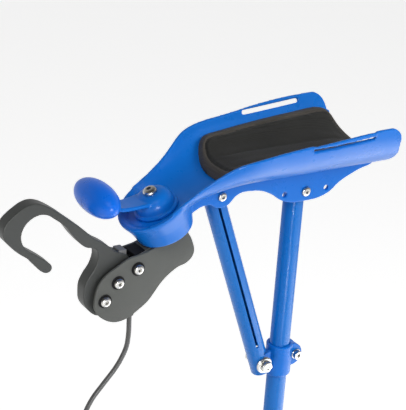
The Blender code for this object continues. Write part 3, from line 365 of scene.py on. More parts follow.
def put_together(obj, *others):
    """Several closed bodies in one mesh, not merged."""
    form = bmesh.new()
    form.from_mesh(obj.data)
    for other in others:
        form.from_mesh(other.data)
    form.to_mesh(obj.data)
    form.free()
    for other in others:
        drop(other)
    return obj


def moulded(obj, voxel, rounds, keep=1.0, weight=None):
    """Turns overlapping sharp bodies into one moulded body with rounded edges and fillets."""
    step = obj.modifiers.new("remesh", "REMESH")
    step.mode = "VOXEL"
    step.voxel_size = voxel * 0.001
    step.adaptivity = 0.0
    apply_all(obj)
    relax(obj, rounds, weight)
    if keep < 1.0:
        step = obj.modifiers.new("decimate", "DECIMATE")
        step.ratio = keep
        apply_all(obj)
    return obj


def relax(obj, rounds, weight=None):
    data = obj.data
    n = len(data.vertices)
    co = np.empty(n * 3, np.float32)
    data.vertices.foreach_get("co", co)
    co = co.reshape(-1, 3).astype(np.float64)
    edges = np.empty(len(data.edges) * 2, np.int32)
    data.edges.foreach_get("vertices", edges)
    edges = edges.reshape(-1, 2)
    count = np.bincount(edges.ravel(), minlength=n).astype(np.float64)
    share = np.full(n, 0.5)
    for i in range(rounds):
        total = np.zeros((n, 3))
        for c in range(3):
            total[:, c] = np.bincount(edges[:, 0], weights=co[edges[:, 1], c], minlength=n) + np.bincount(
                edges[:, 1], weights=co[edges[:, 0], c], minlength=n)
        mean = total / np.maximum(count, 1)[:, None]
        if weight is not None:
            share = 0.5 * weight(co * 1000.0, i)
        co += (mean - co) * share[:, None]
    data.vertices.foreach_set("co", co.astype(np.float32).ravel())
    data.update()


def pchip(xs, ys, x):
    """A smooth curve through the points that doesn't overshoot them."""
    xs, ys = np.asarray(xs, float), np.asarray(ys, float)
    h = np.diff(xs)
    d = np.diff(ys) / h
    m = np.zeros(len(xs))
    for i in range(1, len(xs) - 1):
        if d[i - 1] * d[i] > 0:
            w1, w2 = 2 * h[i] + h[i - 1], h[i] + 2 * h[i - 1]
            m[i] = (w1 + w2) / (w1 / d[i - 1] + w2 / d[i])
    m[0], m[-1] = d[0], d[-1]
    x = np.clip(np.asarray(x, float), xs[0], xs[-1])
    i = np.clip(np.searchsorted(xs, x, side="right") - 1, 0, len(h) - 1)
    t = (x - xs[i]) / h[i]
    return (ys[i] * (2 * t**3 - 3 * t**2 + 1) + h[i] * m[i] * (t**3 - 2 * t**2 + t)
            + ys[i + 1] * (-2 * t**3 + 3 * t**2) + h[i] * m[i + 1] * (t**3 - t**2))


def W(x, y, z):
    return (x, y - SUPPORT_Y, z + PIVOT_Z)


# ---------------------------------------------------------------- pieces and their materials
MATERIALS = {}
TO_MIRROR = []


def finish_piece(obj, name, body, material, replaced=(), angle=35.0):
    obj.name = name
    obj.data.name = name
    obj.data.materials.clear()
    obj.data.materials.append(MATERIALS[material])
    obj.data.polygons.foreach_set("use_smooth", [True] * len(obj.data.polygons))
    if angle:
        obj.data.set_sharp_from_angle(angle=math.radians(angle))
    if body is not None:
        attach(obj, body)
    nodes = list(replaced)
    if nodes:
        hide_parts(*nodes)
    return obj


def side_piece(obj, base, body, material, replaced=(), angle=35.0, support=True, blends=None):
    """A piece of the right side and its mirrored twin on the left. Node and body names take the side's ending."""
    if support:
        move = Matrix.Translation(Vector((0.0, -SUPPORT_Y, PIVOT_Z)) * 0.001)
        obj.data.transform(move)
    twin_data = obj.data.copy()
    twin_data.transform(Matrix.Diagonal((1, -1, 1, 1)))
    twin_data.flip_normals()
    twin = bpy.data.objects.new(base + "_left", twin_data)
    bpy.context.scene.collection.objects.link(twin)
    out = []
    for one, short, long in ((obj, "r", "right"), (twin, "l", "left")):
        where = body.format(s=long) if body else None
        finish_piece(one, f"{base}_{long}", where, material, [n.format(s=short) for n in replaced], angle)
        if blends:
            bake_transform(one)
        out.append(one)
    return out


def new_material(name):
    made = bpy.data.materials.new("finish_" + name)
    made.use_nodes = True
    tree = made.node_tree
    shader = tree.nodes["Principled BSDF"]
    MATERIALS[name] = made
    return made, tree, shader


def node(tree, kind, **settings):
    made = tree.nodes.new(kind)
    for key, value in settings.items():
        if key in made.inputs:
            made.inputs[key].default_value = value
        else:
            setattr(made, key, value)
    return made


def mix_colour(tree, factor, a, b, blend="MIX"):
    m = tree.nodes.new("ShaderNodeMix")
    m.data_type = "RGBA"
    m.blend_type = blend
    for socket, value in ((m.inputs[0], factor), (m.inputs[6], a), (m.inputs[7], b)):
        if hasattr(value, "is_linked") or isinstance(value, bpy.types.NodeSocket):
            tree.links.new(value, socket)
        elif isinstance(value, tuple):
            socket.default_value = (*value, 1.0)
        else:
            socket.default_value = value
    return m.outputs[2]


def maths(tree, how, a, b=0.0, clamp=False):
    m = tree.nodes.new("ShaderNodeMath")
    m.operation = how
    m.use_clamp = clamp
    for socket, value in ((m.inputs[0], a), (m.inputs[1], b)):
        if isinstance(value, bpy.types.NodeSocket):
            tree.links.new(value, socket)
        else:
            socket.default_value = value
    return m.outputs[0]


def ranged(tree, value, a, b, c, d):
    m = tree.nodes.new("ShaderNodeMapRange")
    tree.links.new(value, m.inputs[0])
    for i, v in enumerate((a, b, c, d)):
        m.inputs[i + 1].default_value = v
    return m.outputs[0]


def surface(name, colour, rough, metal=0.0, specular=0.3, spread=0.06, grain=1400.0, grain_depth=0.00002,
            grain_strength=0.5, edge=0.0008, edge_wear_and_highlight=0.25, edge_wear_and_highlight_colour=None, dust=0.0, coat=0.0, coat_rough=0.1, ripple=0.0, kind="noise"):
    """A finish with slow colour drift, a fine grain in its relief and gloss, soft edges, and edges painted paler:
    partly a little wear, partly a painted highlight along them.
    """
    made, tree, shader = new_material(name)
    links = tree.links
    place = tree.nodes.new("ShaderNodeTexCoord").outputs["Object"]

    def texture(scale, detail=2.0, rough_=0.5):
        t = node(tree, "ShaderNodeTexNoise", Scale=scale, Detail=detail, Roughness=rough_)
        links.new(place, t.inputs["Vector"])
        return t.outputs["Fac"]

    slow = texture(9.0, 3.0)
    patches = texture(55.0, 4.0, 0.6)
    fine = texture(grain, 3.0, 0.6)
    drift = ranged(tree, slow, 0.3, 0.7, 0.0, 1.0)
    darker = tuple(c * (1 - spread) for c in colour)
    lighter = tuple(min(c * (1 + spread), 1.0) for c in colour)
    tint = mix_colour(tree, drift, darker, lighter)
    speck = ranged(tree, fine, 0.3, 0.7, 0.0, 1.0)
    tint = mix_colour(tree, maths(tree, "MULTIPLY", speck, 0.10), tint, tuple(c * 0.72 for c in colour))
    bevel = node(tree, "ShaderNodeBevel", samples=6)
    bevel.inputs["Radius"].default_value = edge
    geometry = tree.nodes.new("ShaderNodeNewGeometry")
    dot = tree.nodes.new("ShaderNodeVectorMath")
    dot.operation = "DOT_PRODUCT"
    links.new(bevel.outputs[0], dot.inputs[0])
    links.new(geometry.outputs["Normal"], dot.inputs[1])
    # edges painted paler, partly as wear and partly as a painted highlight along the edges
    turn = maths(tree, "SUBTRACT", 1.0, dot.outputs["Value"], True)
    edge_wear_and_highlight_mask = ranged(tree, turn, 0.02, 0.25, 0.0, 1.0)
    broken = ranged(tree, patches, 0.42, 0.62, 0.25, 1.0)
    edge_wear_and_highlight_mask = maths(tree, "MULTIPLY", edge_wear_and_highlight_mask, broken)
    edge_wear_and_highlight_mask = maths(tree, "MULTIPLY", edge_wear_and_highlight_mask, edge_wear_and_highlight)
    edge_wear_and_highlight_tint = edge_wear_and_highlight_colour or tuple(c + (1 - c) * 0.28 for c in colour)
    tint = mix_colour(tree, edge_wear_and_highlight_mask, tint, edge_wear_and_highlight_tint)
    if dust:
        up = tree.nodes.new("ShaderNodeSeparateXYZ")
        links.new(geometry.outputs["Normal"], up.inputs[0])
        lay = maths(tree, "MULTIPLY", ranged(tree, up.outputs["Z"], 0.2, 1.0, 0.0, dust), broken)
        tint = mix_colour(tree, lay, tint, (0.42, 0.40, 0.37))
    links.new(tint, shader.inputs["Base Color"])
    gloss = ranged(tree, patches, 0.3, 0.7, rough - 0.05, rough + 0.06)
    gloss = maths(tree, "ADD", gloss, maths(tree, "MULTIPLY", edge_wear_and_highlight_mask, 0.15), True)
    links.new(gloss, shader.inputs["Roughness"])
    height = speck
    if kind == "cells":
        cells = node(tree, "ShaderNodeTexVoronoi", Scale=grain * 0.6)
        links.new(place, cells.inputs["Vector"])
        height = maths(tree, "ADD", maths(tree, "MULTIPLY", speck, 0.4), cells.outputs["Distance"])
    bump = node(tree, "ShaderNodeBump", Strength=grain_strength, Distance=grain_depth)
    links.new(height, bump.inputs["Height"])
    links.new(bevel.outputs[0], bump.inputs["Normal"])
    last = bump
    if ripple:
        peel = texture(210.0, 1.0)
        second = node(tree, "ShaderNodeBump", Strength=0.6, Distance=ripple)
        links.new(peel, second.inputs["Height"])
        links.new(bump.outputs[0], second.inputs["Normal"])
        last = second
    links.new(last.outputs[0], shader.inputs["Normal"])
    shader.inputs["Metallic"].default_value = metal
    shader.inputs["Specular IOR Level"].default_value = specular
    shader.inputs["Coat Weight"].default_value = coat
    shader.inputs["Coat Roughness"].default_value = coat_rough
    return made


surface("blue_plastic", (0.004, 0.160, 0.620), 0.30, specular=0.24, spread=0.07, grain=1500.0, grain_depth=0.00003,
        edge=0.0009, edge_wear_and_highlight=0.35, edge_wear_and_highlight_colour=(0.10, 0.38, 0.78), kind="cells")
surface("blue_paint", (0.003, 0.160, 0.560), 0.28, specular=0.26, spread=0.05, grain=900.0, grain_depth=0.00001,
        edge=0.0006, edge_wear_and_highlight=0.12, edge_wear_and_highlight_colour=(0.06, 0.28, 0.68), coat=0.08, coat_rough=0.12, ripple=0.00005)
surface("grip_blue", (0.003, 0.150, 0.760), 0.30, specular=0.32, spread=0.05, grain=1900.0, grain_depth=0.00002,
        edge=0.0007, edge_wear_and_highlight=0.2, edge_wear_and_highlight_colour=(0.06, 0.28, 0.76), kind="cells")
surface("dark_grey", (0.092, 0.096, 0.088), 0.55, specular=0.30, spread=0.10, grain=1300.0, grain_depth=0.00006,
        grain_strength=0.8, edge=0.0006, edge_wear_and_highlight=0.9, edge_wear_and_highlight_colour=(0.34, 0.35, 0.33), kind="cells")
surface("block_grey", (0.150, 0.150, 0.146), 0.48, specular=0.35, spread=0.08, grain=1300.0, grain_depth=0.00003,
        edge=0.0008, edge_wear_and_highlight=0.9, edge_wear_and_highlight_colour=(0.38, 0.38, 0.37))
# near black for the block under the hub and the rings under the cover screws, which stand in for shade there: painted
# shade
surface("shade_black", (0.008, 0.008, 0.009), 0.62, specular=0.15, spread=0.1, grain=1500.0, grain_depth=0.00003,
        edge=0.0006, edge_wear_and_highlight=0.1)
surface("lever_grey", (0.050, 0.053, 0.050), 0.42, specular=0.34, spread=0.08, grain=1200.0, grain_depth=0.00003,
        edge=0.0008, edge_wear_and_highlight=0.8, edge_wear_and_highlight_colour=(0.24, 0.25, 0.24))
surface("steel", (0.62, 0.61, 0.58), 0.26, metal=1.0, specular=0.5, spread=0.05, grain=700.0, grain_depth=0.00001,
        edge=0.0005, edge_wear_and_highlight=0.5, edge_wear_and_highlight_colour=(0.80, 0.79, 0.76))
surface("cable_black", (0.100, 0.100, 0.098), 0.40, specular=0.40, spread=0.08, grain=900.0, grain_depth=0.00003,
        edge=0.0004, edge_wear_and_highlight=0.3)
surface("tyre_grey", (0.060, 0.060, 0.063), 0.78, specular=0.25, spread=0.15, grain=420.0, grain_depth=0.00012,
        grain_strength=0.7, edge=0.0010, edge_wear_and_highlight=0.5, edge_wear_and_highlight_colour=(0.20, 0.20, 0.20), dust=0.25)
surface("rim_grey", (0.330, 0.340, 0.350), 0.45, specular=0.35, spread=0.06, grain=1200.0, grain_depth=0.00003,
        edge=0.0008, edge_wear_and_highlight=0.4, edge_wear_and_highlight_colour=(0.55, 0.56, 0.57), kind="cells")
surface("knob_black", (0.024, 0.024, 0.025), 0.46, specular=0.35, spread=0.12, grain=1300.0, grain_depth=0.00004,
        edge=0.0008, edge_wear_and_highlight=0.4, edge_wear_and_highlight_colour=(0.10, 0.10, 0.10), kind="cells")


def knit(name, colour):
    """Fine warp-knitted cover over foam: rows of small loops, fuzz and a soft sheen."""
    made, tree, shader = new_material(name)
    links = tree.links
    place = tree.nodes.new("ShaderNodeTexCoord").outputs["Object"]
    apart = tree.nodes.new("ShaderNodeSeparateXYZ")
    links.new(place, apart.inputs[0])

    def wave(value, pitch, phase=0.0):
        return maths(tree, "SINE", maths(tree, "ADD", maths(tree, "MULTIPLY", value, 2 * math.pi / pitch), phase))

    across = maths(tree, "ADD", apart.outputs["Y"], maths(tree, "MULTIPLY", apart.outputs["Z"], 0.75))
    rows = wave(apart.outputs["X"], 0.00135)
    legs = wave(across, 0.00115)
    loops = maths(tree, "MULTIPLY", rows, legs)
    wales = maths(tree, "ADD", maths(tree, "MULTIPLY", loops, 0.5), maths(tree, "MULTIPLY", legs, 0.3))
    fuzz = node(tree, "ShaderNodeTexNoise", Scale=1500.0, Detail=3.0)
    links.new(place, fuzz.inputs["Vector"])
    slow = node(tree, "ShaderNodeTexNoise", Scale=26.0, Detail=4.0)
    links.new(place, slow.inputs["Vector"])
    height = maths(tree, "ADD", wales, maths(tree, "MULTIPLY", fuzz.outputs["Fac"], 0.5))
    loop_mask = ranged(tree, wales, -0.6, 0.6, 0.0, 1.0)
    tint = mix_colour(tree, loop_mask, tuple(c * 0.62 for c in colour), tuple(c * 1.25 for c in colour))
    tint = mix_colour(tree, ranged(tree, slow.outputs["Fac"], 0.35, 0.7, 0.0, 0.45), tint, tuple(c * 1.45 for c in colour))
    lint = ranged(tree, fuzz.outputs["Fac"], 0.66, 0.74, 0.0, 0.30)
    tint = mix_colour(tree, lint, tint, (0.13, 0.13, 0.14))
    links.new(tint, shader.inputs["Base Color"])
    links.new(ranged(tree, slow.outputs["Fac"], 0.3, 0.7, 0.80, 0.95), shader.inputs["Roughness"])
    bump = node(tree, "ShaderNodeBump", Strength=0.7, Distance=0.00022)
    links.new(height, bump.inputs["Height"])
    links.new(bump.outputs[0], shader.inputs["Normal"])
    shader.inputs["Specular IOR Level"].default_value = 0.2
    shader.inputs["Sheen Weight"].default_value = 0.12
    shader.inputs["Sheen Roughness"].default_value = 0.5
    shader.inputs["Sheen Tint"].default_value = (0.62, 0.62, 0.66, 1.0)
    return made


knit("pad_foam", (0.029, 0.029, 0.027))
knit("pad_border", (0.066, 0.060, 0.053))
surface("thread", (0.016, 0.016, 0.017), 0.55, specular=0.3, spread=0.1, grain=2500.0, grain_depth=0.00003, edge=0.0002, edge_wear_and_highlight=0.0)


# ---------------------------------------------------------------- forearm trough
ROWS_X = [r[0] for r in TROUGH]
S_N = 40
SECTION_T = np.concatenate([[0.0], np.cumsum(np.hypot(*np.diff(np.array(SECTION), axis=0).T))])
FRONT_T = np.concatenate([[0.0], np.cumsum(np.hypot(*np.diff(np.array(SECTION_FRONT), axis=0).T))])


def section_points(table, lengths, count):
    t = np.linspace(0, lengths[-1], count)
    return np.stack([pchip(lengths, [p[0] for p in table], t), pchip(lengths, [p[1] for p in table], t)], 1)


HALF_A = section_points(SECTION, SECTION_T, S_N)
HALF_B = section_points(SECTION_FRONT, FRONT_T, S_N)


def trough_at(x):
    return [float(pchip(ROWS_X, [r[k] for r in TROUGH], x)) for k in (1, 2, 3)]


def trough_half(x, inset=0.0, floor_up=0.0):
    w, e, f = trough_at(x)
    w, f = w - inset, f + floor_up
    t = min(max((x - 88.0) / 84.0, 0.0), 1.0)
    t = t * t * (3 - 2 * t)
    mix = HALF_A * (1 - t) + HALF_B * t
    return [(w * a, f + (e - f) * b) for a, b in mix]


def trough_ring(x, inset, floor_up, lift):
    half = trough_half(x, inset, floor_up)
    if lift:
        half.append((half[-1][0], half[-1][1] + lift))
    return [(x, y, z) for y, z in half] + [(x, -y, z) for y, z in reversed(half[1:])]


def rear_sweep(z):
    """How far the rear end reaches back at this height: the floor ends behind the tops of the walls."""
    return float(pchip([20.0, 30.0, 37.0, 42.0, 47.5, 54.5, 90.0], [14.6, 13.8, 12.4, 10.8, 8.2, 4.3, 4.2], z))


stations = [-77.0] + list(np.linspace(-60.0, 172.0, 60))
rear_ring = [(x - rear_sweep(z), y, z) for x, y, z in trough_ring(stations[0], 0, 0, 0)]
trough = loft("trough", [rear_ring] + [trough_ring(x, 0, 0, 0) for x in stations[1:]])
rim_u = (math.cos(RIM_TILT), 0, -math.sin(RIM_TILT))
rim_up = Vector((math.sin(RIM_TILT), 0, math.cos(RIM_TILT)))
hub_u = (math.cos(HUB_TILT), 0, -math.sin(HUB_TILT))
Y = (0, 1, 0)
SEG = 96


def ring_between(t, r):
    tilt = HUB_TILT + (RIM_TILT - HUB_TILT) * t
    c = (HUB_FOOT[0] + (RIM[0] - 3.0 - HUB_FOOT[0]) * t, 0, HUB_FOOT[1] + (RIM[1] - HUB_FOOT[1]) * t)
    return circle_points(c, (math.cos(tilt), 0, -math.sin(tilt)), Y, r, SEG)


cup = loft("cup", [
    circle_points((HUB_FOOT[0], 0, HUB_FOOT[1]), hub_u, Y, HUB_FOOT_R - 1.2, SEG),
    circle_points((HUB_FOOT[0] + 0.5, 0, HUB_FOOT[1] + 1.1), hub_u, Y, HUB_FOOT_R, SEG)] + [
    ring_between(t, float(pchip([0.05, 0.45, 0.75, 0.93, 1.0], [HUB_FOOT_R + 0.1, 32.8, 37.3, 39.9, RIM_R + 0.2], t)))
    for t in (0.15, 0.3, 0.45, 0.6, 0.75, 0.85, 0.93, 1.0)])
CHEEK = [
    (-88.0, 22.3), (-84.8, 18.4), (-80.0, 16.6), (-70.2, 14.4), (-62.4, 11.8), (-54.7, 8.8), (-47.2, 5.4), (-40.5, 1.4),
    (-33.5, -4.2), (-25.1, -8.2), (-16.0, -10.3), (-6.0, -11.0), (6.0, -11.0), (16.0, -10.3), (25.1, -8.0),
    (32.5, -4.4), (39.5, 0.6), (46.0, 4.4), (54.0, 7.9), (62.0, 9.8), (72.0, 10.6), (81.0, 10.3), (88.6, 6.5),
    (92.6, 2.0), (97.5, -0.9), (103.6, -2.0), (110.0, -0.6), (115.5, 3.0), (122.0, 3.6), (129.0, 2.0), (137.0, -2.0),
    (146.0, 6.0), (132.0, 15.0), (112.0, 19.5), (90.0, 22.5),
]
for side in (1, -1):
    join(trough, smooth_slab("cheek", CHEEK, side * CHEEK_IN, side * CHEEK_OUT, 1.5))
join(trough, cup)
inner = loft("inner", [trough_ring(x, TROUGH_WALL, TROUGH_FLOOR, 30.0) for x in [-110.0] + stations[1:]])
cut(trough, inner)
cut(trough, loft("inner_cup", [
    circle_points((RECESS[0], 0, RECESS[1]), hub_u, Y, RECESS_R, SEG),
    circle_points((RECESS[0] + (RIM[0] - RECESS[0]) * 0.28, 0, RECESS[1] + (RIM[1] - RECESS[1]) * 0.28),
                  (math.cos(math.radians(27.0)), 0, -math.sin(math.radians(27.0))), Y, RECESS_R + 1.7, SEG),
    circle_points((RECESS[0] + (RIM[0] - RECESS[0]) * 0.55, 0, RECESS[1] + (RIM[1] - RECESS[1]) * 0.55),
                  (math.cos(math.radians(29.5)), 0, -math.sin(math.radians(29.5))), Y, RECESS_R + 4.2, SEG),
    circle_points((RIM[0] - 3.0, 0, RIM[1]), rim_u, Y, RIM_R - RIM_WALL, SEG),
    circle_points(tuple(Vector((RIM[0] - 3.0, 0, RIM[1])) + rim_up * 34), rim_u, Y, RIM_R - RIM_WALL + 1.5, SEG)]))
corner = [(-120.0, 110.0), (-120.0, 54.5), (-81.3, 54.5)]
for i in range(1, 24):
    a = math.pi - (math.pi / 2) * i / 24
    corner.append((-60.6 + 20.7 * math.cos(a), 54.5 + 20.7 * math.sin(a)))
corner += [(-60.6, 75.2), (-60.6, 110.0)]
cut(trough, slab("rear_corner", corner, -90, 90))
slot_a, slot_b, slot_half = Vector((28.0, 61.2)), Vector((-41.4, 67.4)), 2.7
slot_dir = (slot_b - slot_a).normalized()
slot_outline = []
for end, turn in ((slot_a, math.pi), (slot_b, 0.0)):
    base_angle = math.atan2(slot_dir.y, slot_dir.x) + turn
    for i in range(13):
        a = base_angle - math.pi / 2 + math.pi * i / 12
        slot_outline.append((end.x + slot_half * math.cos(a), end.y + slot_half * math.sin(a)))
lean = math.tan(math.radians(30.0))
for side in (1, -1):
    cut(trough, loft("strap_slot", [[(x, side * y, z - (y - 66.0) * lean) for x, z in slot_outline] for y in (52.0, 80.0)]))
cut(trough,
    rod("bore", (0, -30, 0), (0, 30, 0), 3.3, 32),
    rod("bore", (STRUT_TOP[0], -30, STRUT_TOP[1]), (STRUT_TOP[0], 30, STRUT_TOP[1]), 3.3, 32),
    rod("hole", (26.5, -30, 0), (26.5, 30, 0), 2.8, 32),
    rod("hole", (-26.5, -30, 0), (-26.5, 30, 0), 2.8, 32))
hub_low = Vector((HUB_FOOT[0], 0, HUB_FOOT[1])) - HUB_AXIS * 5
hub_high = Vector((RECESS[0], 0, RECESS[1])) + HUB_AXIS * 12
cut(trough, rod("hub_bore", hub_low, hub_high, 4.3, 48))


def junction_weight(co, i):
    """More rounds of smoothing where the walls run into the cup."""
    if i < 5:
        return np.ones(len(co))
    x, y = co[:, 0], np.abs(co[:, 1])
    outside = np.clip((np.hypot(x - 164.0, co[:, 1]) - 34.0) / 6.0, 0, 1)
    near = np.exp(-((x - 136.0) / 24.0) ** 2) * np.clip((y - 22.0) / 8.0, 0, 1)
    return near * outside


moulded(trough, 0.75, 26, 0.45, junction_weight)


def strap_bridges(obj):
    """The strip of wall over each strap slot stands a little outwards, with a short step at both ends."""
    n = len(obj.data.vertices)
    co = np.empty(n * 3, np.float32)
    obj.data.vertices.foreach_get("co", co)
    co = co.reshape(-1, 3).astype(np.float64)
    x, y, z = (co * 1000.0).T
    line = slot_a.y + (x - slot_a.x) * (slot_b.y - slot_a.y) / (slot_b.x - slot_a.x)
    depth = np.where(y > 0, 1.9, 0.7)
    ends = np.clip((x - (slot_b.x - 4.6)) / 5.0, 0, 1) * np.clip(((slot_a.x + 4.6) - x) / 5.0, 0, 1)
    over = np.clip((z - line + 0.6) / 1.2, 0, 1) * (np.abs(y) > 50.0)
    share = ends * over
    share = share * share * (3 - 2 * share)
    co[:, 1] += np.sign(y) * share * depth * 0.00096
    co[:, 2] -= share * depth * 0.00027
    obj.data.vertices.foreach_set("co", co.astype(np.float32).ravel())
    obj.data.update()


strap_bridges(trough)
side_piece(trough, "trough_shell", "trough_{s}", "blue_plastic", ["trough_{s}"], angle=0)

# ---------------------------------------------------------------- forearm pad
PAD_FRONT, PAD_REAR = 104.0, -79.2
PAD_MIDDLE, PAD_HALF = 12.0, 92.0
PAD_CORNER = 13.0


def pad_edge(x):
    rows = [(-80.0, 56.3), (-74.0, 57.8), (-66.0, 59.4), (-60.0, 59.8), (-43.0, 58.7), (-16.0, 56.8), (22.0, 54.0), (45.0, 52.2),
            (60.0, 50.6), (77.0, 48.7), (88.0, 46.8), (104.0, 44.0)]
    return float(pchip([r[0] for r in rows], [r[1] for r in rows], x))


def pad_frame(x):
    """Points along the trough's inside at x, from the middle up to the pad's upper edge."""
    w, e, f = trough_at(x)
    w, f = w - TROUGH_WALL - 0.35, f + TROUGH_FLOOR + 0.35
    t = min(max((x - 88.0) / 84.0, 0.0), 1.0)
    t = t * t * (3 - 2 * t)
    pts = [Vector((w * a, f + (e - f) * b)) for a, b in HALF_A * (1 - t) + HALF_B * t]
    top = pad_edge(x)
    line = [pts[0]]
    for a, b in zip(pts, pts[1:]):
        if b.y >= top:
            line.append(a.lerp(b, (top - a.y) / max(b.y - a.y, 1e-6)))
            break
        line.append(b)
    lengths = [0.0]
    for a, b in zip(line, line[1:]):
        lengths.append(lengths[-1] + (b - a).length)
    return line, lengths


def on_line(line, lengths, s):
    s = min(max(s, 0.0), lengths[-1])
    for i in range(len(line) - 1):
        if s <= lengths[i + 1] + 1e-9:
            t = (s - lengths[i]) / max(lengths[i + 1] - lengths[i], 1e-9)
            return line[i].lerp(line[i + 1], t), (line[i + 1] - line[i]).normalized()
    return line[-1], (line[-1] - line[-2]).normalized()


FRAMES = {}


def frame_at(x):
    key = round(min(max(x, -92.0), 105.0) * 8)
    if key not in FRAMES:
        FRAMES[key] = pad_frame(max(key / 8, -77.0))
    return FRAMES[key]


def pad_end(v, front):
    """Where the pad ends in x at share v of its half girth: rounded at the front, swept back at the rear."""
    v = abs(v)
    return PAD_FRONT - 12.0 * v ** 2.6 if front else PAD_REAR - 8.6 * (1.0 - v ** 2.2)


def box_distance(u, s, hs, v):
    """Distance inside the pad's outline, a rectangle with rounded corners, at (u, s) from its middle."""
    r = PAD_CORNER
    x = PAD_MIDDLE + u
    qx = max(x - (pad_end(v, True) - r), (pad_end(v, False) + r) - x)
    qs = abs(s) - (hs - r)
    outside = math.hypot(max(qx, 0.0), max(qs, 0.0))
    inside = min(max(qx, qs), 0.0)
    return r - (outside + inside)


def pad_height(d, x, s, hs):
    """Thickness of the cover over the trough at distance d from the pad's outline."""
    if d <= 0:
        return 0.0
    edge = 6.2
    rise = math.sqrt(max(1 - (1 - min(d / edge, 1.0)) ** 2.4, 0.0))
    t = 10.4 * rise
    t += 2.6 * min(max((d - 6.0) / 15.0, 0.0), 1.0) ** 0.6
    t -= 1.9 * math.exp(-((d - 7.6) / 1.1) ** 2)
    t += 0.5 * math.exp(-((d - 11.0) / 2.6) ** 2)
    p = Vector((x * 0.035, s * 0.035, 3.1))
    t += 0.40 * noise.noise(p) * min(d / 12.0, 1.0) + 0.15 * noise.noise(p * 3.1) * min(d / 12.0, 1.0)
    t += 0.16 * math.cos(2 * math.pi * (x if abs(abs(s) - hs) < 20 else s) / 9.0) * math.exp(-((d - 8.0) / 3.5) ** 2)
    return t


def pad_point(a, b):
    """The place on the trough and the inward normal at shares a (rear to front) and b (side to side), -1 to 1."""
    u = math.copysign(abs(a) ** 0.9, a)
    v = math.copysign(abs(b) ** 0.9, b)
    rear, front_ = pad_end(v, False), pad_end(v, True)
    x = rear + (front_ - rear) * (u + 1) / 2
    line, lengths = frame_at(x)
    hs = lengths[-1]
    r = PAD_CORNER
    over = max(x - (front_ - r), (rear + r) - x, 0.0)
    s = v * (hs - r + math.sqrt(max(r * r - over * over, 0.0)))
    p, t = on_line(line, lengths, abs(s))
    n = Vector((-t.y, t.x))
    d = box_distance(x - PAD_MIDDLE, s, hs, v)
    return x, s, hs, p, n, d


def pad_grid(nx, ns, lift=None):
    top, low, inside = [], [], []
    for i in range(nx + 1):
        top_row, low_row, far = [], [], []
        for j in range(ns + 1):
            a, b = -1 + 2 * i / nx, -1 + 2 * j / ns
            x, s, hs, p, n, d = pad_point(a, b)
            sign = 1 if s >= 0 else -1
            h = pad_height(d, x, s, hs)
            y, z = max(p.x + n.x * h, 0.0), p.y + n.y * h
            spot = Vector((x, sign * y, z))
            if lift is not None:
                spot += lift(i / nx, j / ns)
            top_row.append(tuple(spot))
            low_row.append((x, sign * p.x, p.y))
            far.append(d)
        top.append(top_row)
        low.append(low_row)
        inside.append(far)
    return top, low, inside


def pad_mesh(nx, ns, top, low):
    """The closed mesh over both grids, which share their border, and the number of each top point."""
    points, index, faces = [], {}, []
    for layer, rows in (("t", top), ("b", low)):
        for i, row in enumerate(rows):
            for j, p in enumerate(row):
                key = (i, j) if i in (0, nx) or j in (0, ns) else (layer, i, j)
                if key not in index:
                    index[key] = len(points)
                    points.append(p)

    def at(layer, i, j):
        return index[(i, j)] if i in (0, nx) or j in (0, ns) else index[(layer, i, j)]

    for i in range(nx):
        for j in range(ns):
            faces.append((at("t", i, j), at("t", i, j + 1), at("t", i + 1, j + 1), at("t", i + 1, j)))
            faces.append((at("b", i, j), at("b", i + 1, j), at("b", i + 1, j + 1), at("b", i, j + 1)))
    return points, faces, at


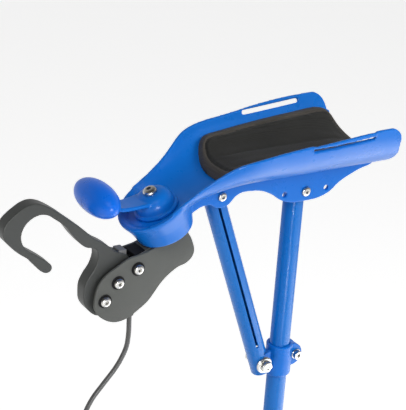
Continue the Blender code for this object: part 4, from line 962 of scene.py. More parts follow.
def swollen(nx=44, ns=36, cap=2.6):
    """Cloth with air pressure inside, held at its sewn channel, its edge and the trough: how far each top point moves."""
    top, low, inside = pad_grid(nx, ns)
    points, faces, at = pad_mesh(nx, ns, top, low)
    data = bpy.data.meshes.new("pad_cloth")
    data.from_pydata([tuple(c * 0.001 for c in p) for p in points], [], faces)
    form = bmesh.new()
    form.from_mesh(data)
    if form.calc_volume(signed=True) < 0:
        bmesh.ops.reverse_faces(form, faces=form.faces)
    form.to_mesh(data)
    form.free()
    cloth = bpy.data.objects.new("pad_cloth", data)
    bpy.context.scene.collection.objects.link(cloth)
    free = {}
    for i in range(nx + 1):
        for j in range(ns + 1):
            if inside[i][j] > 9.2:
                free[at("t", i, j)] = (i, j)
    held = cloth.vertex_groups.new(name="held")
    held.add([k for k in range(len(points)) if k not in free], 1.0, "REPLACE")
    step = cloth.modifiers.new("cloth", "CLOTH")
    how = step.settings
    how.quality = 6
    how.mass = 0.15
    how.tension_stiffness = how.compression_stiffness = 12.0
    how.shear_stiffness = 5.0
    how.bending_stiffness = 0.3
    how.use_pressure = True
    how.uniform_pressure_force = 4.0
    how.effector_weights.gravity = 0.0
    how.vertex_group_mass = "held"
    step.collision_settings.use_collision = False
    step.point_cache.frame_start, step.point_cache.frame_end = 1, 20
    scene = bpy.context.scene
    scene.frame_start, scene.frame_end = 1, 20
    for number in range(1, 21):
        scene.frame_set(number)
    graph = bpy.context.evaluated_depsgraph_get()
    made = cloth.evaluated_get(graph).to_mesh()
    moved = np.zeros((nx + 1, ns + 1, 3))
    for k, (i, j) in free.items():
        d = made.vertices[k].co * 1000.0 - Vector(points[k])
        if d.length > 1e-9:
            d *= cap * math.tanh(d.length / cap) / d.length
        moved[i, j] = d
    cloth.evaluated_get(graph).to_mesh_clear()
    scene.frame_set(1)
    drop(cloth)
    for _ in range(1):
        inner_ = moved[1:-1, 1:-1]
        moved[1:-1, 1:-1] = inner_ * 0.5 + 0.125 * (moved[:-2, 1:-1] + moved[2:, 1:-1] + moved[1:-1, :-2] + moved[1:-1, 2:])
    print("pad cloth moved, mm:", round(float(np.abs(moved).max()), 2), "mean", round(float(np.linalg.norm(moved, axis=2).mean()), 2))

    def lift(a, b):
        fi, fj = a * nx, b * ns
        i, j = min(int(fi), nx - 1), min(int(fj), ns - 1)
        p, q = fi - i, fj - j
        m = (moved[i, j] * (1 - p) * (1 - q) + moved[i + 1, j] * p * (1 - q) + moved[i, j + 1] * (1 - p) * q + moved[i + 1, j + 1] * p * q)
        return Vector(m)

    return lift


pad_lift = swollen()
pad_nx, pad_ns = ((148, 120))
pad_top, pad_low, pad_inside = pad_grid(pad_nx, pad_ns, pad_lift)
pad_points, pad_faces, _ = pad_mesh(pad_nx, pad_ns, pad_top, pad_low)
pad = body_of_points("pad", pad_points, pad_faces)
relax(pad, 1)
near_top = kdtree.KDTree((pad_nx + 1) * (pad_ns + 1) * 2)
for i in range(pad_nx + 1):
    for j in range(pad_ns + 1):
        near_top.insert(Vector(pad_top[i][j]) * 0.001, i * (pad_ns + 1) + j)
        near_top.insert(Vector(pad_low[i][j]) * 0.001, i * (pad_ns + 1) + j)
near_top.balance()
border = []
for face in pad.data.polygons:
    _, k, _ = near_top.find(face.center)
    border.append(1 if pad_inside[k // (pad_ns + 1)][k % (pad_ns + 1)] < 7.3 else 0)
pad_pieces = side_piece(pad, "forearm_pad", "trough_{s}", "pad_foam", ["pad_{s}"], angle=60)
for piece in pad_pieces:
    piece.data.materials.append(MATERIALS["pad_border"])
    piece.data.polygons.foreach_set("material_index", border)


def stitches():
    """Short threads in the sewn channel round the pad, every 4 mm."""
    inset, r = 7.6, 7.0

    def lift(x, s):
        line, lengths = frame_at(x)
        hs = lengths[-1]
        s = math.copysign(min(abs(s), hs), s)
        p, t = on_line(line, lengths, abs(s))
        n = Vector((-t.y, t.x))
        d = box_distance(x - PAD_MIDDLE, s, hs, s / hs)
        h = pad_height(d, x, s, hs) + 0.15
        return Vector((x, math.copysign(max(p.x + n.x * h, 0.0), s), p.y + n.y * h))

    def corner(u, v):
        """A point of the inset outline: u and v run round a square, -1 to 1."""
        line, lengths = frame_at(PAD_MIDDLE)
        rear, front_ = pad_end(v, False) + inset, pad_end(v, True) - inset
        x = rear + (front_ - rear) * (u + 1) / 2
        hs = frame_at(x)[1][-1] - inset
        s = v * hs
        over_x = max(x - (front_ - r), (rear + r) - x, 0.0)
        over_s = max(abs(s) - (hs - r), 0.0)
        far = math.hypot(over_x, over_s)
        if over_x > 0 and over_s > 0 and far > r:
            push = over_x - over_x * r / far
            x += -push if x > PAD_MIDDLE else push
            s = math.copysign(hs - r + over_s * r / far, s)
        return lift(x, s)

    count, route = 150, []
    for k in range(count + 1):
        route.append(corner(-1 + 2 * k / count, 1))
    for k in range(1, count + 1):
        route.append(corner(1, 1 - 2 * k / count))
    for k in range(1, count + 1):
        route.append(corner(1 - 2 * k / count, -1))
    for k in range(1, count + 1):
        route.append(corner(-1, -1 + 2 * k / count))
    parts = []
    walk = catmull(route, 0.5, corner=181.0)
    dist = [0.0]
    for a, b in zip(walk, walk[1:]):
        dist.append(dist[-1] + (b - a).length)
    start = 0.0
    while start + 2.8 < dist[-1]:
        seg = [p for p, q in zip(walk, dist) if start <= q <= start + 2.8]
        start += 4.2
        if len(seg) < 4:
            continue
        pick = [seg[0], seg[len(seg) // 3], seg[2 * len(seg) // 3], seg[-1]]
        pick = [p - Vector((0, 0, 0.45)) if i in (0, 3) else p for i, p in enumerate(pick)]
        parts.append(pipe("stitch", pick, 0.34, 6))
    return put_together(*parts)


side_piece(stitches(), "pad_stitching", "trough_{s}", "thread", angle=60)


# ---------------------------------------------------------------- fasteners
def hex_prism(name, origin, direction, near, far, across_flats, chamfer=0.5, start=0.0):
    d, u, v = axes_across(direction)
    base = Vector(origin)
    r = across_flats / 2 / math.cos(math.pi / 6)
    rings = []
    for along, radius in ((near, r - chamfer), (near + chamfer * 0.6, r), (far - chamfer * 0.6, r), (far, r - chamfer)):
        rings.append(circle_points(base + d * along, u, v, radius, 6, start))
    return loft(name, rings)


def button_bolt(x, z, near, far, shank, head_r, head_t, nut_flats, nut_t, flange=0.0):
    """A button head with a hexagon socket on the near side, and a nut with its washer on the far side."""
    profile = [(-far - 0.9, shank - 0.6), (-far - 0.9, shank), (near, shank), (near, head_r), (near + head_t * 0.28, head_r)]
    for i in range(1, 9):
        a = math.pi / 2 * i / 9
        profile.append((near + head_t * (0.28 + 0.72 * math.sin(a)), 2.6 + (head_r - 2.6) * math.cos(a)))
    profile.append((near + head_t, 2.6))
    one = turned("bolt", (x, 0, z), (0, 1, 0), profile, 40)
    cut(one, hex_prism("socket", (x, 0, z), (0, 1, 0), near + head_t * 0.35, near + head_t + 4.0, 3.6, 0.0))
    nut = hex_prism("nut", (x, 0, z), (0, -1, 0), far + 0.7, far + nut_t, nut_flats, 0.7, 0.3)
    washer = turned_ring("washer", (x, 0, z), (0, -1, 0), rounded(
        [(far, shank + 0.05), (far, nut_flats / 2 + 1.0), (far + 0.7, nut_flats / 2 + 1.0), (far + 0.7, shank + 0.05)], 0.2, 2, True), 40)
    join(one, nut)
    if flange:
        lip = turned_ring("flange", (x, 0, z), (0, 1, 0), rounded(
            [(near - 0.001, shank + 0.05), (near - 0.001, flange), (near + 0.8, flange), (near + 0.8, shank + 0.05)], 0.25, 2, True), 40)
        join(one, lip)
    return put_together(one, washer)


near = CHEEK_OUT + GAP
side_piece(button_bolt(0, 0, near, near, 3.0, 5.2, 2.4, 8.6, 2.3), "pivot_bolt", "trough_{s}", "steel", ["trough_pivot_bolt_{s}"])
side_piece(button_bolt(*STRUT_TOP, near, near, 3.0, 4.8, 2.4, 8.0, 2.3), "strut_bolt", "trough_{s}", "steel", ["strut_top_bolt_{s}"])

# ---------------------------------------------------------------- post
post = turned_ring("post", (0, 0, 0), (0, 0, 1), [
    (POST_BOTTOM, POST_R - 0.5), (POST_BOTTOM + 0.5, POST_R)] + [
    (POST_TOP - 0.8, POST_R), (POST_TOP - 0.2, POST_R - 0.3), (POST_TOP, POST_R - 0.8), (POST_TOP, POST_BORE + 0.3), (POST_TOP - 0.4, POST_BORE),
    (POST_BOTTOM, POST_BORE)], 72)
cut(post, rod("bore", (0, -20, 0), (0, 20, 0), 3.3, 32))
side_piece(post, "post_tube", "post_{s}", "blue_paint", ["post_{s}"])

# ---------------------------------------------------------------- strut: a slit tube with flattened, rounded ends
sx, sz = STRUT_TOP[0] - STRUT_FOOT[0], STRUT_TOP[1] - STRUT_FOOT[1]
strut_len = math.hypot(sx, sz)
along = Vector((sx / strut_len, 0, sz / strut_len))
front = Vector((along.z, 0, -along.x))
foot = Vector((STRUT_FOOT[0], 0, STRUT_FOOT[1]))
end_low = foot - along * 13.5
top_len = strut_len + 25.0
strut = turned_ring("strut", end_low, along, [
    (0.0, STRUT_R - 1.5), (0.25, STRUT_R - 0.8), (0.8, STRUT_R - 0.2), (1.6, STRUT_R)] + [
    (top_len - 2.4, STRUT_R), (top_len - 1.2, STRUT_R - 0.4), (top_len - 0.4, STRUT_R - 1.1), (top_len, STRUT_R - 2.0),
    (top_len, STRUT_BORE - 0.6), (0.0, STRUT_BORE)], 72)
slit_dir = (Vector((0, 1, 0)) * 0.985 + front * 0.174).normalized()
slit_side = along.cross(slit_dir)
cut(strut, oriented_box("slit", foot + along * 141.5 + slit_dir * STRUT_R, along, slit_dir, slit_side, 116.5, 6.0, 1.3))
cut(strut, oriented_box("mouth", foot - front * (STRUT_R + 3.5) - along * 4, along, front, (0, 1, 0), 17.0, STRUT_R, 20))
cut(strut, rod("bore", foot - Vector((0, 30, 0)), foot + Vector((0, 30, 0)), 5.5, 40))
top_pin = Vector((STRUT_TOP[0], 0, STRUT_TOP[1]))
cut(strut, rod("bore", top_pin - Vector((0, 30, 0)), top_pin + Vector((0, 30, 0)), 3.3, 32))
cut(strut, slab("head_room", [(70.0, 17.0), (92.0, 16.4), (104.0, 14.8), (118.0, 11.2), (135.0, 6.0), (135.0, 60.0), (70.0, 60.0)], -30, 30))
side_piece(strut, "strut_tube", "strut_{s}", "blue_paint", ["strut_{s}"])

# ---------------------------------------------------------------- collar on the post
collar = turned("collar", (0, 0, 0), (0, 0, 1), [
    (COLLAR_LOW, COLLAR_R - 0.8), (COLLAR_LOW + 0.8, COLLAR_R), (COLLAR_TOP - 0.8, COLLAR_R), (COLLAR_TOP, COLLAR_R - 0.8)], 72)
ear = []
for i in range(25):
    a = math.pi / 2 + math.pi * i / 24
    ear.append((-12.5 + 12.5 * math.cos(a), -199.0 + 13.0 * math.sin(a)))
ear += [(-4.0, -212.0), (-4.0, -186.0)]
lug = [(8.0, -191.0), (14.5, -191.0)]
for i in range(19):
    a = math.pi / 2 - math.pi * i / 18
    lug.append((27.0 + 6.2 * math.cos(a), -201.0 + 6.2 * math.sin(a)))
lug += [(14.5, -213.5), (8.0, -213.5)]
join(collar, slab("ears", ear, -9.0, 9.0), slab("lug", lug, -4.2, 4.2))
cut(collar,
    rod("bore", (0, 0, -240), (0, 0, -160), POST_R + GAP, 72),
    slab("split", [(-40, -160), (-40, -240), (0, -240), (0, -160)], -1.6, 1.6),
    rod("pin", (27, -20, -201), (27, 20, -201), 4.3, 32),
    rod("clamp", (COLLAR_BOLT[0], -20, COLLAR_BOLT[1]), (COLLAR_BOLT[0], 20, COLLAR_BOLT[1]), 3.3, 32))
moulded(collar, 0.42, 4, 0.5)
side_piece(collar, "collar_clamp", "collar_{s}", "blue_plastic", ["collar_{s}"], angle=0)

cx, cz = COLLAR_BOLT
clamp = turned("clamp", (cx, 0, cz), (0, 1, 0), rounded([
    (-9.3, 3.0), (9.3, 3.0), (9.3, 5.0), (14.6, 5.0), (15.0, 4.6), (15.0, 2.9)], 0.4, 3), 40)
cut(clamp, hex_prism("socket", (cx, 0, cz), (0, 1, 0), 11.6, 20.0, 4.4, 0.0))
nut = hex_prism("nut", (cx, 0, cz), (0, -1, 0), 9.3, 14.5, 9.3, 0.7)
washer = turned_ring("washer", (cx, 0, cz), (0, 1, 0), rounded([(9.3, 3.05), (9.3, 5.7), (10.0, 5.7), (10.0, 3.05)], 0.2, 2, True), 40)
side_piece(put_together(join(clamp, nut), washer), "clamp_bolt", "collar_{s}", "steel", ["collar_clamp_bolt_{s}"])

# the strut's lower pivot: a wide washer, a hexagon head and a nut
px, pz = 27.0, -201.0
pivot = turned("pivot", (px, 0, pz), (0, 1, 0), [(-15.6, 3.4), (-15.6, 4.0), (11.3, 4.0), (11.3, 9.5), (12.4, 9.4), (13.2, 8.6), (13.5, 7.6)], 64)
join(pivot, hex_prism("head", (px, 0, pz), (0, 1, 0), 12.6, 18.5, 11.6, 0.9, 0.35), hex_prism("nut", (px, 0, pz), (0, -1, 0), 11.3, 15.9, 12.4, 0.8, 0.1))
cut(pivot, turned("dish", (px, 0, pz), (0, 1, 0), [(17.7, 2.6), (19.5, 4.2)], 40))
side_piece(pivot, "strut_foot_bolt", "collar_{s}", "steel", ["strut_pivot_bolt_{s}"])

# ---------------------------------------------------------------- swivelling hand grip
base = Vector((RECESS[0], 0, RECESS[1])) + HUB_AXIS * GAP
dome = [(0.0, 22.3), (0.35, 22.6), (2.6, 22.5), (3.1, 22.0), (3.3, 20.4), (4.0, 20.0)]
for i in range(1, 13):
    a = math.pi / 2 * i / 12
    dome.append((6.5 + 12.4 * math.sin(a), 8.0 + 11.6 * math.cos(a) ** 0.92 if i < 12 else 8.0))
arm = turned("arm", base, HUB_AXIS, dome, 96)


def arm_ring(x, half, low, high, r=1.4):
    ring = []
    for cx_, cz_, a0 in ((half - r, high - r, 90), (half - r, low + r, 0), (-half + r, low + r, -90), (-half + r, high - r, -180)):
        for k in range(5):
            a = math.radians(a0 - 90 * k / 4)
            ring.append((x, cx_ + r * math.cos(a), cz_ + r * math.sin(a)))
    return ring


BLADE = [(160.0, 9.0, 11.8, 16.2), (166.0, 12.2, 11.0, 15.9), (171.0, 13.6, 10.3, 15.2), (176.0, 14.1, 9.8, 14.5), (181.0, 13.9, 9.2, 13.6),
         (186.0, 13.4, 8.7, 12.8), (192.0, 12.8, 8.2, 12.0), (199.0, 12.1, 7.7, 11.5), (205.0, 11.6, 7.6, 11.5),
         (210.0, 11.2, 8.1, 12.1), (214.0, 10.4, 9.1, 13.3), (217.0, 9.0, 9.9, 14.6), (219.5, 8.0, 10.2, 15.4), (234.0, 8.0, 10.2, 15.4)]


def blade_at(x):
    return [float(pchip([b[0] for b in BLADE], [b[k] for b in BLADE], x)) for k in (1, 2, 3)]


join(arm, loft("blade", [arm_ring(x, *blade_at(x), 1.2) for x in np.linspace(160.0, 234.0, 60)]))
cut(arm, rod("bore", base - HUB_AXIS * 5, base + HUB_AXIS * 40, 4.3, 48))
moulded(arm, 0.5, 7, 0.5)
side_piece(arm, "grip_arm", "handle_{s}", "blue_plastic", ["handle_arm_{s}"], angle=0)

egg_profile = [(-EGG_HALF_LENGTH, 1.2)]
for i in range(1, 48):
    t = -math.cos(math.pi * i / 48)
    egg_profile.append((t * EGG_HALF_LENGTH, max(EGG_R * (1 - abs(t) ** 2.15) ** 0.5, 1.2)))
egg_profile.append((EGG_HALF_LENGTH, 1.2))
egg = turned("egg", (EGG[0], 0, EGG[1]), (0, 1, 0), egg_profile, 128)
cut(egg, loft("slot", [
    arm_ring(190.0, 8.0 + GAP, 10.2 - GAP, 15.4 + GAP), arm_ring(234.0 + GAP, 8.0 + GAP, 10.2 - GAP, 15.4 + GAP)]))
cut(egg, loft("relief", [arm_ring(190.0, 14.0, 6.0, 17.0), arm_ring(219.3, 14.0, 6.0, 17.0)]))
# the parting line of its two halves
cut(egg, turned_ring("seam", (EGG[0], 0, EGG[1]), (0, 1, 0), [
    (-0.18, EGG_R - 0.12), (-0.18, EGG_R + 0.5), (0.18, EGG_R + 0.5), (0.18, EGG_R - 0.12)], 128))
side_piece(egg, "grip_egg", "handle_{s}", "grip_blue", ["egg_grip_{s}"])

seat = base + HUB_AXIS * 18.9
head = [(-40.0, 3.6), (-39.6, 4.0), (GAP, 4.0), (GAP, 6.6), (0.55, 7.0), (1.5, 7.0)]
for i in range(1, 9):
    a = math.pi / 2 * i / 9
    head.append((1.5 + 3.4 * math.sin(a), 3.4 + 3.6 * math.cos(a)))
head.append((4.9, 3.2))
screw = turned("screw", seat, HUB_AXIS, head, 64)
cut(screw, hex_prism("socket", seat, HUB_AXIS, 2.2, 9.0, 4.6, 0.0))
side_piece(screw, "grip_screw", "handle_{s}", "steel", ["handle_screw_{s}"])

# ---------------------------------------------------------------- brake unit under the hub
PLATE = [
    (140.0, -17.0), (156.0, -24.1), (180.0, -36.2), (192.6, -38.8), (202.3, -40.4), (214.5, -46.8), (223.8, -51.8), (231.3, -58.5),
    (235.4, -65.6), (237.6, -74.3), (238.0, -86.0), (233.7, -94.2), (224.4, -102.0), (216.2, -105.4), (207.9, -105.8),
    (198.8, -103.3), (189.7, -98.0), (178.9, -90.4), (171.8, -81.9), (165.6, -74.1), (157.6, -66.7), (146.5, -59.9), (137.0, -57.2),
    (130.4, -51.9), (128.2, -45.0), (132.0, -32.0), (136.3, -24.6),
]
WEB = [
    (141.0, -17.8), (156.0, -24.4), (182.0, -36.2), (190.0, -39.0), (184.4, -46.0), (184.0, -58.0), (176.0, -70.0), (165.0, -69.5),
    (157.6, -63.7), (146.5, -57.0), (137.0, -54.4), (132.0, -49.9), (130.5, -45.0), (134.0, -32.0), (137.5, -25.0),
]
plate_far = smooth_slab("plate", PLATE, -PLATE_OUT, -PLATE_IN, 1.2, 0.5)
join(plate_far, smooth_slab("web", WEB, -PLATE_IN - 0.8, PLATE_IN - GAP, 1.2))
ferrule = turned("ferrule", (FERRULE_X, 0, FERRULE_LOW), (0, 0, 1), rounded([
    (0.0, 3.4), (0.0, 4.3), (5.6, 4.5), (5.6, 3.7), (7.0, 3.7), (7.0, 4.5), (10.4, 4.5), (10.4, 4.1), (18.5, 4.1)], 0.35, 2), 48)
for i in range(10):
    a = 2 * math.pi * i / 10
    cut(ferrule, rod("flute", (FERRULE_X + 5.0 * math.cos(a), 5.0 * math.sin(a), FERRULE_LOW + 0.8),
                     (FERRULE_X + 5.0 * math.cos(a), 5.0 * math.sin(a), FERRULE_LOW + 4.9), 0.95, 12))
join(ferrule, slab("bracket", [(186.0, -88.0), (198.0, -88.0), (198.0, -100.5), (191.0, -97.0), (186.0, -93.0)], -PLATE_IN - 0.8, 4.0))
join(plate_far, ferrule)
cut(plate_far, rod("bore", (FERRULE_X, 0, -130), (FERRULE_X, 0, -80), CABLE_R + 0.4, 32))
plate_near = smooth_slab("plate", PLATE, PLATE_IN, PLATE_OUT, 1.2, 0.9)
for x, z in PLATE_SCREWS:
    cut(plate_far, rod("hole", (x, -30, z), (x, 30, z), 3.3, 32))
    cut(plate_near, rod("hole", (x, -30, z), (x, 30, z), 3.3, 32))
side_piece(plate_near, "brake_cover_near", "trough_{s}", "dark_grey", ["brake_plate_inner_{s}"])
side_piece(plate_far, "brake_cover_far", "trough_{s}", "dark_grey", ["brake_plate_outer_{s}"])
# a black block on the web under the hub's foot, standing in for the shade there: painted shade
shade_block = slab("shade_block", [(180.5, -36.0), (187.0, -37.2), (194.5, -38.4), (194.5, -43.5), (187.0, -43.5), (180.5, -40.5)], -10.6, 10.6)
moulded(shade_block, 0.5, 2, 1.0)
side_piece(shade_block, "hub_shade_block", "trough_{s}", "shade_black", angle=0)
for number, (x, z) in enumerate(PLATE_SCREWS, 1):
    one = button_bolt(x, z, PLATE_OUT + GAP + 0.9, PLATE_OUT + GAP, 3.0, 5.3, 3.2, 8.9, 4.2)
    # a dark ring under each cover screw's head, standing in for the shadow round the head: painted shade
    washer = turned_ring("washer", (x, 0, z), (0, 1, 0), rounded([
        (PLATE_OUT + 0.02, 3.02), (PLATE_OUT + 0.02, 7.0), (PLATE_OUT + GAP + 0.8, 6.8), (PLATE_OUT + GAP + 0.8, 3.02)], 0.25, 2, True), 48)
    side_piece(one, f"cover_screw_{number}", "trough_{s}", "steel", [f"plate_screw_{number}_{{s}}"])
    side_piece(washer, f"cover_washer_{number}", "trough_{s}", "shade_black")

LEVER = [
    (213.6, -33.0), (220.5, -26.6), (227.0, -21.7), (233.5, -17.6), (240.0, -12.4), (246.5, -6.0), (252.9, -0.4), (259.2, 4.9), (265.5, 10.1),
    (271.7, 15.3), (277.8, 19.9), (283.9, 24.1), (289.9, 27.4), (295.9, 29.4), (301.8, 29.5), (307.7, 27.7), (313.5, 24.4),
    (319.4, 20.4), (325.0, 15.4), (328.2, 10.0), (328.8, 4.0), (326.6, -2.4), (322.0, -8.2), (316.8, -13.8), (311.0, -18.8), (305.0, -23.4), (300.0, -28.6),
    (295.4, -34.4), (290.6, -39.2), (285.8, -41.6), (281.8, -40.8), (279.9, -38.0), (280.6, -34.6), (286.5, -28.8), (292.6, -23.9), (298.7, -19.4),
    (304.7, -15.0), (309.0, -9.4), (310.9, -3.0), (310.2, 3.6), (307.2, 9.6), (303.0, 13.6), (298.0, 16.4), (291.6, 17.6), (284.4, 15.9), (278.3, 11.4),
    (272.2, 6.6), (266.0, 0.7), (259.8, -8.0), (254.8, -14.1), (249.8, -19.6), (244.4, -23.5), (238.6, -25.2), (234.4, -27.2), (232.3, -31.6), (232.2, -38.0),
    (235.6, -47.4), (241.4, -55.4), (245.6, -64.0), (246.4, -73.0), (245.2, -83.0), (239.6, -91.6), (232.8, -97.2), (224.0, -98.6), (212.0, -96.0), (203.6, -89.0),
    (200.8, -76.0), (199.4, -60.0), (198.6, -46.5), (200.4, -39.4), (206.6, -36.0),
]
lever = smooth_slab("lever", LEVER, -LEVER_HALF, LEVER_HALF, 1.5)
cut(lever, rod("bore", (LEVER_PIVOT[0], -30, LEVER_PIVOT[1]), (LEVER_PIVOT[0], 30, LEVER_PIVOT[1]), 3.3, 32),
    rod("slot", (PLATE_SCREWS[0][0], -30, PLATE_SCREWS[0][1]), (PLATE_SCREWS[0][0], 30, PLATE_SCREWS[0][1]), 7.0, 40))
moulded(lever, 0.6, 4, 0.5)
block = slab("block", [(200.9, -47.0), (200.9, -34.0), (201.5, -33.4), (208.6, -33.4), (209.2, -34.0), (210.4, -47.0)], -6.9, 6.2, 0.6)
side_piece(block, "handle_block", "lever_{s}", "block_grey")
side_piece(lever, "brake_handle", "lever_{s}", "lever_grey", ["brake_lever_{s}"], angle=0)

# ---------------------------------------------------------------- base tube: two rails joined at the front
RAIL = [
    (-318.0, 255.0, 71.0), (-300.0, 255.0, 75.0), (-262.0, 254.0, 88.0), (-205.0, 250.0, 122.0), (-140.0, 245.0, 160.0),
    (-75.0, 240.0, 186.0), (0.0, 235.0, 200.0), (90.0, 230.0, 207.0), (180.0, 225.0, 210.0), (262.0, 221.0, 211.0),
    (316.0, 214.0, 211.0), (342.0, 197.0, 211.0), (353.0, 165.0, 211.0), (355.0, 120.0, 211.0), (355.0, 50.0, 211.0),
]
coarse = smooth_line(RAIL, 16)
half_line = smooth_line(RAIL, 150)


def rail_at(x, axis):
    for a, b in zip(coarse, coarse[1:]):
        if a.x <= x <= b.x:
            return a[axis] + (b[axis] - a[axis]) * (x - a.x) / (b.x - a.x)
    return coarse[-1][axis]


shoe_z, shoe_y = rail_at(SHOE_X, 2), rail_at(SHOE_X, 1)
full_line = half_line + [Vector((p.x, -p.y, p.z)) for p in reversed(half_line)]
tube = pipe("base", full_line, RAIL_R, 40)
ends = [full_line[0] * 2 - full_line[4]] + full_line + [full_line[-1] * 2 - full_line[-5]]
hollow = pipe("hollow", ends, RAIL_R - 2.0, 32)
for side in (1, -1):
    join(tube, turned("boss", (REAR_X, side * 240.0, WHEEL_R), (0, side, 0), rounded([(0, 15.0), (30.0, 15.0)], 1.0), 56))
cut(tube, hollow)
beads = []


def bead(centre, axis, radius, thick=1.5):
    """A weld bead round a joint: a ring with an uneven, scaly back."""
    d, u, v = axes_across(axis)
    c = Vector(centre)
    rings, count = [], 160
    for i in range(count):
        a = 2 * math.pi * i / count
        out = u * math.cos(a) + v * math.sin(a)
        r = thick * (1.0 + 0.16 * abs(math.sin(a * 18)) + 0.05 * math.sin(a * 5))
        rings.append(circle_points(c + out * radius, out, d, r, 10))
    return ring_loop("bead", rings)


for side in (1, -1):
    join(tube, turned("socket", (CASTER_X, side * CASTER_Y, 186.0), (0, 0, 1), rounded([(0.0, 16.0), (54.0, 16.0)], 0.8), 64))
    join(tube, turned("stub", (SHOE_X, side * (shoe_y + 9.0), shoe_z), (0, side, 0), rounded([(0, 5.0), (306.0 - shoe_y - 9.0, 5.0)], 0.8), 32))
    cut(tube,
        rod("axle", (REAR_X, side * 200.0, WHEEL_R), (REAR_X, side * 330.0, WHEEL_R), 5.3, 32),
        rod("stem", (CASTER_X, side * CASTER_Y, 150.0), (CASTER_X, side * CASTER_Y, 236.0), 6.3, 32))
    cut(tube, rod("drain", (355.0, side * 70.0, 190.0), (355.0, side * 70.0, 211.0), 2.5, 24))
    beads.append(bead((REAR_X, side * 244.0, WHEEL_R), (0, 1, 0), 15.2))
finish_piece(put_together(tube, *beads), "chassis_rails", "base", "blue_paint", ["base_tube"])

# ---------------------------------------------------------------- sleeve with its brace
sy = -SUPPORT_Y
rail_line = [Vector((p.x, -p.y, p.z)) for p in half_line]
sleeve = turned("sleeve", (0, sy, 190.0), (0, 0, 1), rounded([(0.0, SLEEVE_R), (SLEEVE_TOP - 190.0, SLEEVE_R)], 0.8), 72)
brace = pipe("brace", smooth_line([(-2.0, sy, 470.0), (-60.0, sy - 1, 410.0), (-120.0, sy - 4, 290.0), (-150.0, -246.0, 150.0)], 70), 9.0, 40)
boss = rod("boss", (0, sy - 10, KNOB_Z), (0, sy - 24.0, KNOB_Z), 9.0, 48)
join(sleeve, brace, boss)
cut(sleeve, pipe("rail_room", rail_line, RAIL_R + 0.3, 40),
    slab("under", [(-400, 0), (400, 0), (400, 200), (130, 206), (0, 199), (-75, 185), (-140, 159), (-205, 121), (-262, 87), (-400, 60)], -400, -100),
    rod("bore", (0, sy, 214.0), (0, sy, 700.0), SLEEVE_BORE, 72),
    rod("thread", (0, sy - 5, KNOB_Z), (0, sy - 40, KNOB_Z), 4.3, 32))
side_piece(sleeve, "height_sleeve", "base", "blue_paint", ["sleeve_{s}"], support=False)

# ---------------------------------------------------------------- front hoop with its centre stay
HOOP = [(4.0, -235.0, 545.0), (52.0, -226.0, 553.0), (104.0, -182.0, 561.0), (140.0, -110.0, 566.0), (152.0, -40.0, 568.0),
        (152.0, 40.0, 568.0), (140.0, 110.0, 566.0), (104.0, 182.0, 561.0), (52.0, 226.0, 553.0), (4.0, 235.0, 545.0)]
hoop = pipe("hoop", smooth_line(HOOP, 150), HOOP_R, 40)
stay = pipe("stay", smooth_line([(146.0, 0, 567.0), (200.0, 0, 530.0), (262.0, 0, 420.0), (318.0, 0, 300.0), (352.0, 0, 205.0)], 90), HOOP_R, 40)
join(hoop, stay)
cut(hoop, rod("sleeve_room", (0, -235, 500), (0, -235, 600), SLEEVE_R + 0.1, 72),
    rod("sleeve_room", (0, 235, 500), (0, 235, 600), SLEEVE_R + 0.1, 72),
    rod("rail_room", (355.0, -60, 211.0), (355.0, 60, 211.0), RAIL_R + 0.3, 56))
cut(hoop, oriented_box("below", (355.0, 0, 190.0), (1, 0, 0), (0, 1, 0), (0, 0, 1), 40, 40, 21))
finish_piece(hoop, "hoop_and_stay", "base", "blue_paint", ["front_hoop"])

# ---------------------------------------------------------------- height clamp knob
knob = turned("knob", (0, sy, KNOB_Z), (0, -1, 0), rounded([
    (POST_R + GAP, 3.4), (POST_R + 1.2, 4.0), (24.6, 4.0), (24.6, 10.0), (28.0, 17.0), (40.0, 18.0), (43.5, 13.0), (43.0, 8.0), (42.6, 7.6)], 1.2, 3), 96)
for i in range(6):
    a = 2 * math.pi * i / 6
    kx, kz = 20.5 * math.cos(a), KNOB_Z + 20.5 * math.sin(a)
    cut(knob, rod("flute", (kx, sy - 20, kz), (kx, sy - 60, kz), 5.2, 32))
moulded(knob, 0.5, 3, 0.5)
side_piece(knob, "height_knob", "knob_{s}", "knob_black", ["height_clamp_knob_{s}"], support=False, angle=0)


